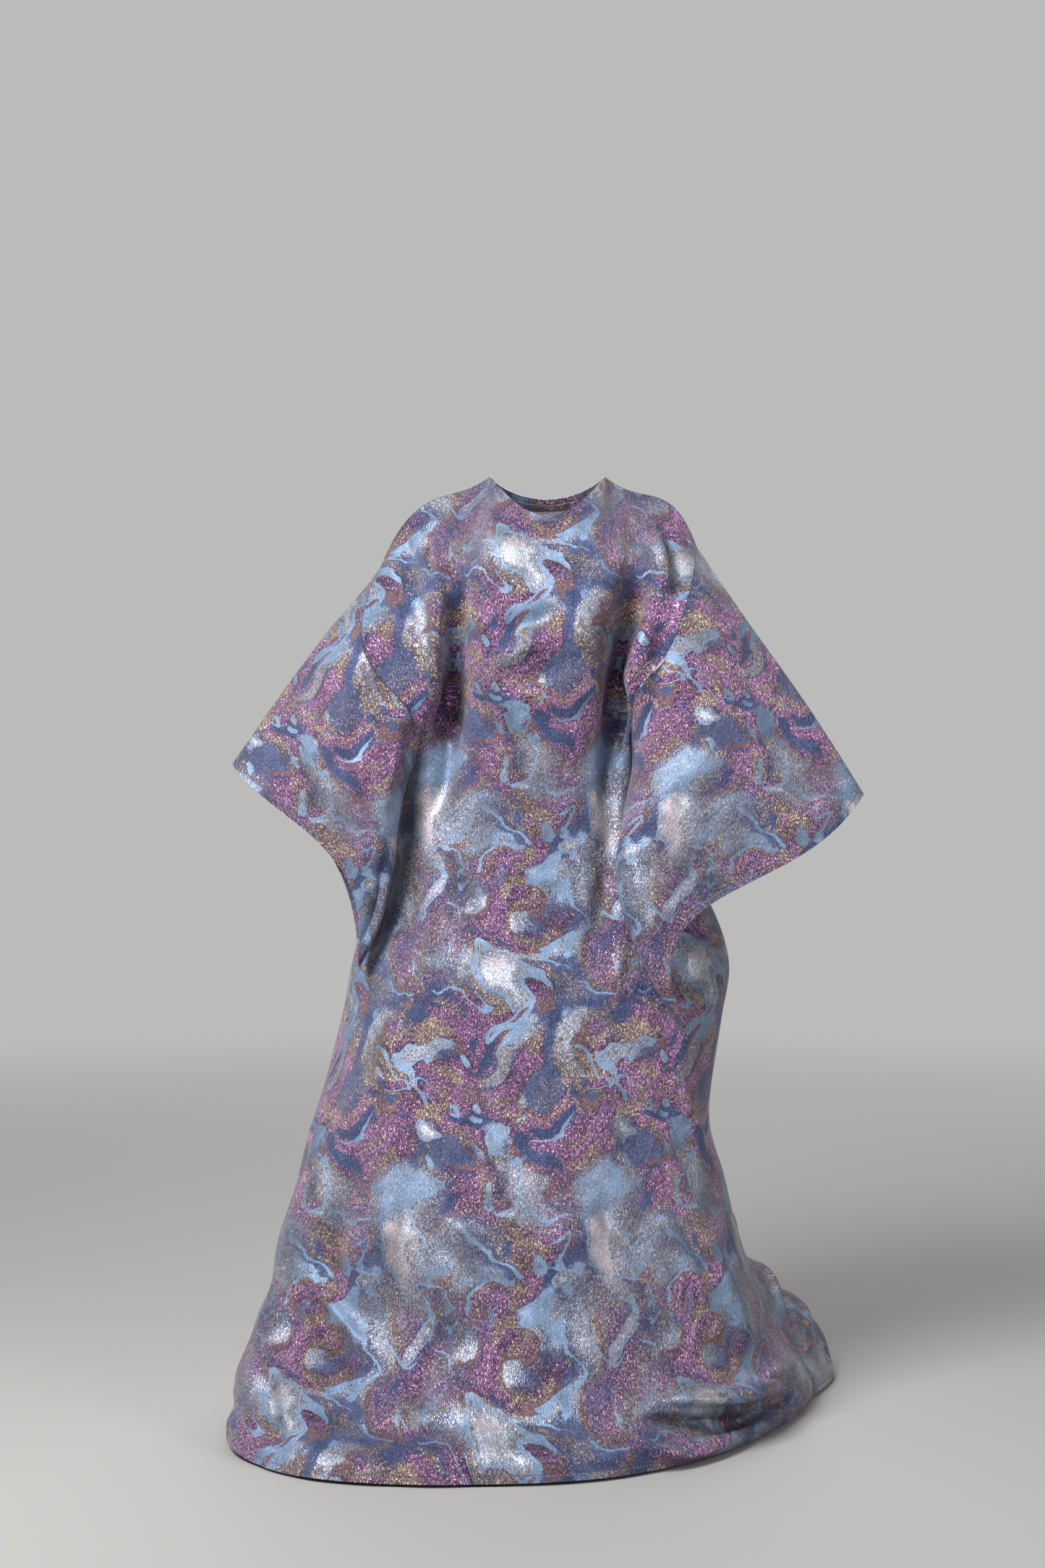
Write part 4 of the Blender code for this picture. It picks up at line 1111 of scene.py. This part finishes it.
# A slow unevenness of the hand-hung cloth all over: the steps of each wave, and its height.
RIPPLES = table("wave_x wave_y wave_z turn height", [
    (21, 13, 9, 0.4, 1.1),
    (-17, 24, 15, 1.9, 0.9),
    (34, -19, 11, 3.1, 0.7),
    (-29, -33, 27, 5, 0.6),
    (47, 38, -31, 2.2, 0.5),
    (-62, 44, 36, 0.9, 0.4),
    (74, -58, 49, 4.1, 0.3),
])
SEAM_FADE = 0.10
SIDE_FADE = 0.14


def crease_relief(x, z, creases):
    """Height of the ridges and troughs at places on a panel."""
    relief = np.zeros(x.shape)
    part = np.linspace(0, 1, CREASE_STEPS)[:, None]
    for row in zip(*creases.values()):
        start, middle, end = np.array(row[:6]).reshape(3, 2)
        left, right, height = row[6:]
        bend = 2 * middle - (start + end) / 2
        curve = start * (1 - part) ** 2 + bend * 2 * part * (1 - part) + end * part ** 2
        reach = CREASE_REACH * max(left, right)
        low, high = curve.min(axis=0) - reach, curve.max(axis=0) + reach
        near = (x > low[0]) & (x < high[0]) & (z > low[1]) & (z < high[1])
        best = np.full(int(near.sum()), np.inf)
        lift = np.zeros(best.shape)
        for step, (first, second) in enumerate(zip(curve[:-1], curve[1:])):
            run = second - first
            aside, above = x[near] - first[0], z[near] - first[1]
            share = np.clip((aside * run[0] + above * run[1]) / (run @ run), 0, 1)
            away = np.hypot(aside - share * run[0], above - share * run[1])
            width = np.where(run[0] * above - run[1] * aside > 0, right, left)
            along = (step + share) / (CREASE_STEPS - 1)
            swell = ease(along / CREASE_TAPER) * ease((1 - along) / CREASE_TAPER)
            closer = away < best
            lift = np.where(closer, height * swell * bell(away, width), lift)
            best = np.minimum(best, away)
        relief[near] += lift
    return relief


def as_seen(grid):
    """Where the eye sees each point, in the plane of the shoulders."""
    nearness = -EYE[1] / (grid[..., 1] - EYE[1])
    return EYE[0] + (grid[..., 0] - EYE[0]) * nearness, EYE[2] + (grid[..., 2] - EYE[2]) * nearness


def ripple(grid):
    """The slow unevenness at each point."""
    waves = np.stack([RIPPLES["wave_" + axis] for axis in "xyz"])
    return (np.sin(grid @ waves + RIPPLES["turn"]) * RIPPLES["height"]).sum(axis=-1)


def panel_relief(name, grid, flat):
    """Height of all folds on one panel, which dies away at the seams between front and back."""
    shares = armhole_shares()
    over, under = ease(shares / SEAM_FADE), ease((1 - shares) / SEAM_FADE)
    if "panel" in name:
        top = np.pad(over, (0, SKIRT_ROWS), constant_values=1)[:, None]
        low = np.pad(under, (0, SKIRT_ROWS))[:, None]
        fade = top * (1 - (1 - low) * ease(1 - (1 - np.abs(across_places())) / SIDE_FADE))
    else:
        fade = (over * under)[:, None]
    if "front" in name:
        relief = crease_relief(*as_seen(grid), FRONT_CREASES)
    elif name == "back_panel":
        relief = crease_relief(flat[..., 0], flat[..., 1], BACK_CREASES)
    else:
        relief = crease_relief(np.abs(flat[..., 0]), flat[..., 1] - flat[-1, 0, 1], SLEEVE_CREASES)
    return (relief + ripple(grid)) * fade


# Sewing the panels together
# The six panels meet edge to edge in plain seams: both shoulders, both sides, both armholes, and
# over and under each arm. Neck, cuffs and hem are turned inside once and stitched down, so the
# brocade shows for a finger's width inside them.
CLOTH_THICKNESS = 0.0012
TURNED_WIDTH = 0.018
TURNED_THICKNESS = 0.0024
TURNED_STEP = 0.004
SHARP_EDGE = 50
ARMHOLE_LAST = ("right_sleeve_back", "left_sleeve_front")
GRAIN_TURN = {"right": -0.55, "left": 0.55}
# The flat places are eased on every fourth point, in many small pulls.
EASING_STEP = 4
EASING_ROUNDS = 500
EASING_SHARE = 0.22
SMALLEST_GAP = 1e-6


def steps_along(grid, axis):
    """Distance along the cloth from the first line of points, in one direction of the grid."""
    lengths = np.linalg.norm(np.diff(grid, axis=axis), axis=-1)
    start = np.zeros_like(np.take(lengths, [0], axis=axis))
    return np.concatenate([start, np.cumsum(lengths, axis=axis)], axis=axis)


def eased_flat(flat, grid):
    """The flat places of a panel, eased until they are as far apart as the points they belong to."""
    places, points = flat[::EASING_STEP, ::EASING_STEP], grid[::EASING_STEP, ::EASING_STEP]
    start = places.copy()
    ties = []
    every, later, earlier = slice(None), slice(1, None), slice(None, -1)
    for one, other in (((later, every), (earlier, every)), ((every, later), (every, earlier)),
                       ((later, later), (earlier, earlier)), ((later, earlier), (earlier, later))):
        ties.append((one, other, np.linalg.norm(points[one] - points[other], axis=-1)))
    for _ in range(EASING_ROUNDS):
        move = np.zeros_like(places)
        for one, other, length in ties:
            gap = places[one] - places[other]
            reach = np.linalg.norm(gap, axis=-1)
            pull = gap * ((length - reach) / np.maximum(reach, SMALLEST_GAP))[..., None] * EASING_SHARE / 2
            move[one] += pull
            move[other] -= pull
        places = places + move
    rows = np.arange(len(flat)) / EASING_STEP
    columns = np.arange(flat.shape[1]) / EASING_STEP
    shift = places - start
    for axis, at in ((0, rows), (1, columns)):
        low = np.clip(np.floor(at).astype(int), 0, shift.shape[axis] - 2)
        part = (at - low).reshape((-1, 1, 1) if axis == 0 else (1, -1, 1))
        shift = np.take(shift, low, axis) * (1 - part) + np.take(shift, low + 1, axis) * part
    return flat + shift


def flat_places(name, grid):
    """Where each point lies on its flat panel: from the middle of a body panel, or an armhole."""
    across, along = steps_along(grid, 1), steps_along(grid, 0)
    if "panel" in name:
        across = across - across[:, across.shape[1] // 2][:, None]
    elif name in ARMHOLE_LAST:
        across = across - across[:, -1:]
    return eased_flat(np.stack([across, grid[:1, :, 2] - along], axis=-1), grid)


def cloth_places(name, grid, flat):
    """Where each point lies on the bolt of cloth, in metres: sleeves are cut aslant."""
    if "panel" in name:
        return flat
    turn = GRAIN_TURN[name.split("_")[0]]
    across, along = flat[..., 0] - flat[0, 0, 0], flat[..., 1] - flat[0, 0, 1]
    u = across * np.cos(turn) - along * np.sin(turn)
    v = across * np.sin(turn) + along * np.cos(turn)
    return np.stack([u + grid[0, 0, 0], v + grid[0, 0, 2]], axis=-1)


def edge_distances(name, grid):
    """Distance of each point from the nearest sewn seam and from the nearest free edge."""
    across, along = steps_along(grid, 1), steps_along(grid, 0)
    sides = [across, across[:, -1:] - across]
    top, bottom = along, along[-1:] - along
    if "panel" not in name:
        cuff = sides.pop(0 if name in ARMHOLE_LAST else 1)
        return np.minimum.reduce([*sides, top, bottom]), cuff
    neck = grid[0][np.abs(across_places()) <= NECK_SHARE]
    shoulder = grid[0][np.abs(across_places()) >= NECK_SHARE]
    near = [np.full(grid.shape[:2], np.inf) for _ in range(2)]
    for distances, line in zip(near, (shoulder, neck)):
        part = grid[:ARMHOLE_ROWS]
        distances[:ARMHOLE_ROWS] = np.linalg.norm(part[:, :, None] - line, axis=-1).min(axis=-1)
    return np.minimum.reduce([*sides, near[0]]), np.minimum(bottom, near[1])


def wall_mesh(name, outer, inner, places, edges):
    """A closed wall between two grids of points, with its places on the cloth and from its edges."""
    rows, columns = outer.shape[:2]
    points = np.concatenate([outer.reshape(-1, 3), inner.reshape(-1, 3)])
    points[:, 2] -= CARRIED_HEIGHT
    index = np.arange(rows * columns).reshape(rows, columns)
    corners = [index[:-1, :-1], index[1:, :-1], index[1:, 1:], index[:-1, 1:]]
    cells = np.stack(corners, axis=-1).reshape(-1, 4)
    rim = np.array([*index[:, 0], *index[-1, 1:], *index[-2::-1, -1], *index[0, -2:0:-1]])
    turned = np.roll(rim, -1)
    back = rows * columns
    edge = np.stack([turned, rim, rim + back, turned + back], axis=-1)
    faces = np.concatenate([cells, cells[:, ::-1] + back, edge])
    mesh = bpy.data.meshes.new(name)
    mesh.from_pydata(points.tolist(), [], faces.tolist())
    for label, values in (("cloth", places), ("edges", edges)):
        flat = np.concatenate([values.reshape(-1, 2)] * 2)
        layer = mesh.uv_layers.new(name=label)
        layer.data.foreach_set("uv", flat[faces.reshape(-1)].astype(np.float32).reshape(-1))
    wrong = np.zeros(len(faces), dtype=np.int32)
    wrong[len(cells):2 * len(cells)] = edges[..., 1].reshape(-1)[cells].min(axis=1) > TURNED_WIDTH
    mesh.materials.append(OUTSIDE)
    mesh.materials.append(INSIDE)
    mesh.polygons.foreach_set("material_index", wrong)
    mesh.shade_smooth()
    mesh.set_sharp_from_angle(angle=np.radians(SHARP_EDGE))
    mesh.update()
    return mesh


# The back of the cuff at the left leans out beyond its front, so that its turned edge shows.
CUFF_LEAN = Vector((-0.010, 0.0, -0.003))
LEAN_STATIONS = (0.80, 1.0)
LEAN_SHARES = (0.42, 1.0)


def cuff_lean(grid):
    """The back of the left sleeve, with its cuff leaning out."""
    (first, last), (top, foot) = LEAN_STATIONS, LEAN_SHARES
    out = ease((np.linspace(0, 1, SLEEVE_STATIONS) - first) / (last - first))
    down = np.clip((armhole_shares() - top) / (foot - top), 0, 1)
    return grid + (np.sin(np.pi * down)[:, None] * out[None])[..., None] * np.array(CUFF_LEAN)


# Below the arms the sides of the body swell out, so that the sleeves hang against them.
SWELL_HEIGHT = 0.938
SWELL_SPAN = 0.052
SWELL_START = 0.42
SWELL_ROWS = 8
SWELL_LEFT = -0.030
SWELL_RIGHT = 0.022


def side_swell(grid):
    """A body panel, with its sides further out below the arms."""
    near = ease((np.abs(across_places()) - SWELL_START) / (1 - SWELL_START))[None]
    level = bell(grid[..., 2] - SWELL_HEIGHT, SWELL_SPAN)
    below = ease((np.arange(len(grid)) - ARMHOLE_ROWS + 1) / SWELL_ROWS)[:, None]
    reach = np.where(grid[..., 0] < 0, SWELL_LEFT, SWELL_RIGHT) * near * level * below
    return grid + np.stack([reach, np.zeros_like(reach), np.zeros_like(reach)], axis=-1)


# The cloth runs softly over the level of the underarms, and down from the corners of the neck.
UNDERARM_SPAN = 15
UNDERARM_ROUNDS = 160
SIDE_HOLD = 0.07
CORNER_SPAN = 0.10
CORNER_ROWS = (8, 40)
CORNER_ROUNDS = 60


def softened(grid, axis, share, rounds):
    """The points drawn towards the middle of their neighbours, as far as their share says."""
    for _ in range(rounds):
        middle = (np.roll(grid, 1, axis) + np.roll(grid, -1, axis)) / 2
        grid = grid + (middle - grid) * share[..., None] / 2
    return grid


def worn_soft(grid):
    """A body panel without hard changes of form."""
    rows, aside = np.arange(len(grid))[:, None], np.abs(across_places())[None]
    level = bell(rows - ARMHOLE_ROWS + 1, UNDERARM_SPAN) * ease((1 - aside) / SIDE_HOLD)
    start, end = CORNER_ROWS
    corner = ease(rows / start) * ease((end - rows) / (end - start)) * bell(aside - NECK_SHARE, CORNER_SPAN)
    return softened(softened(grid, 0, level, UNDERARM_ROUNDS), 1, corner, CORNER_ROUNDS)


FORMS = panels()
for panel_name in ("front_panel", "back_panel"):
    FORMS[panel_name] = side_swell(worn_soft(FORMS[panel_name]))
FORMS["left_sleeve_back"] = cuff_lean(FORMS["left_sleeve_back"])
OUTWARD = shared_normals(FORMS)
FLAT = {name: flat_places(name, form) for name, form in FORMS.items()}
HUNG = {}
for panel_name, form in FORMS.items():
    lift = panel_relief(panel_name, form, FLAT[panel_name])
    hung = form + OUTWARD[panel_name] * lift[..., None]
    hung[..., 2] = np.maximum(hung[..., 2], HEM_RISE)
    HUNG[panel_name] = hung
OUTWARD = shared_normals(HUNG)
for panel_name, hung in HUNG.items():
    from_seam, from_edge = edge_distances(panel_name, hung)
    doubled = ease((TURNED_WIDTH - from_edge) / TURNED_STEP)
    thickness = CLOTH_THICKNESS + (TURNED_THICKNESS - CLOTH_THICKNESS) * doubled
    inner_points = hung - OUTWARD[panel_name] * thickness[..., None]
    on_cloth = cloth_places(panel_name, hung, FLAT[panel_name])
    edges = np.stack([from_seam, from_edge], axis=-1)
    cloth = wall_mesh(panel_name + "_cloth", hung, inner_points, on_cloth, edges)
    piece = bpy.data.objects.new(panel_name + "_cloth", cloth)
    bpy.context.collection.objects.link(piece)
    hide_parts(panel_name)
    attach(piece, "root")
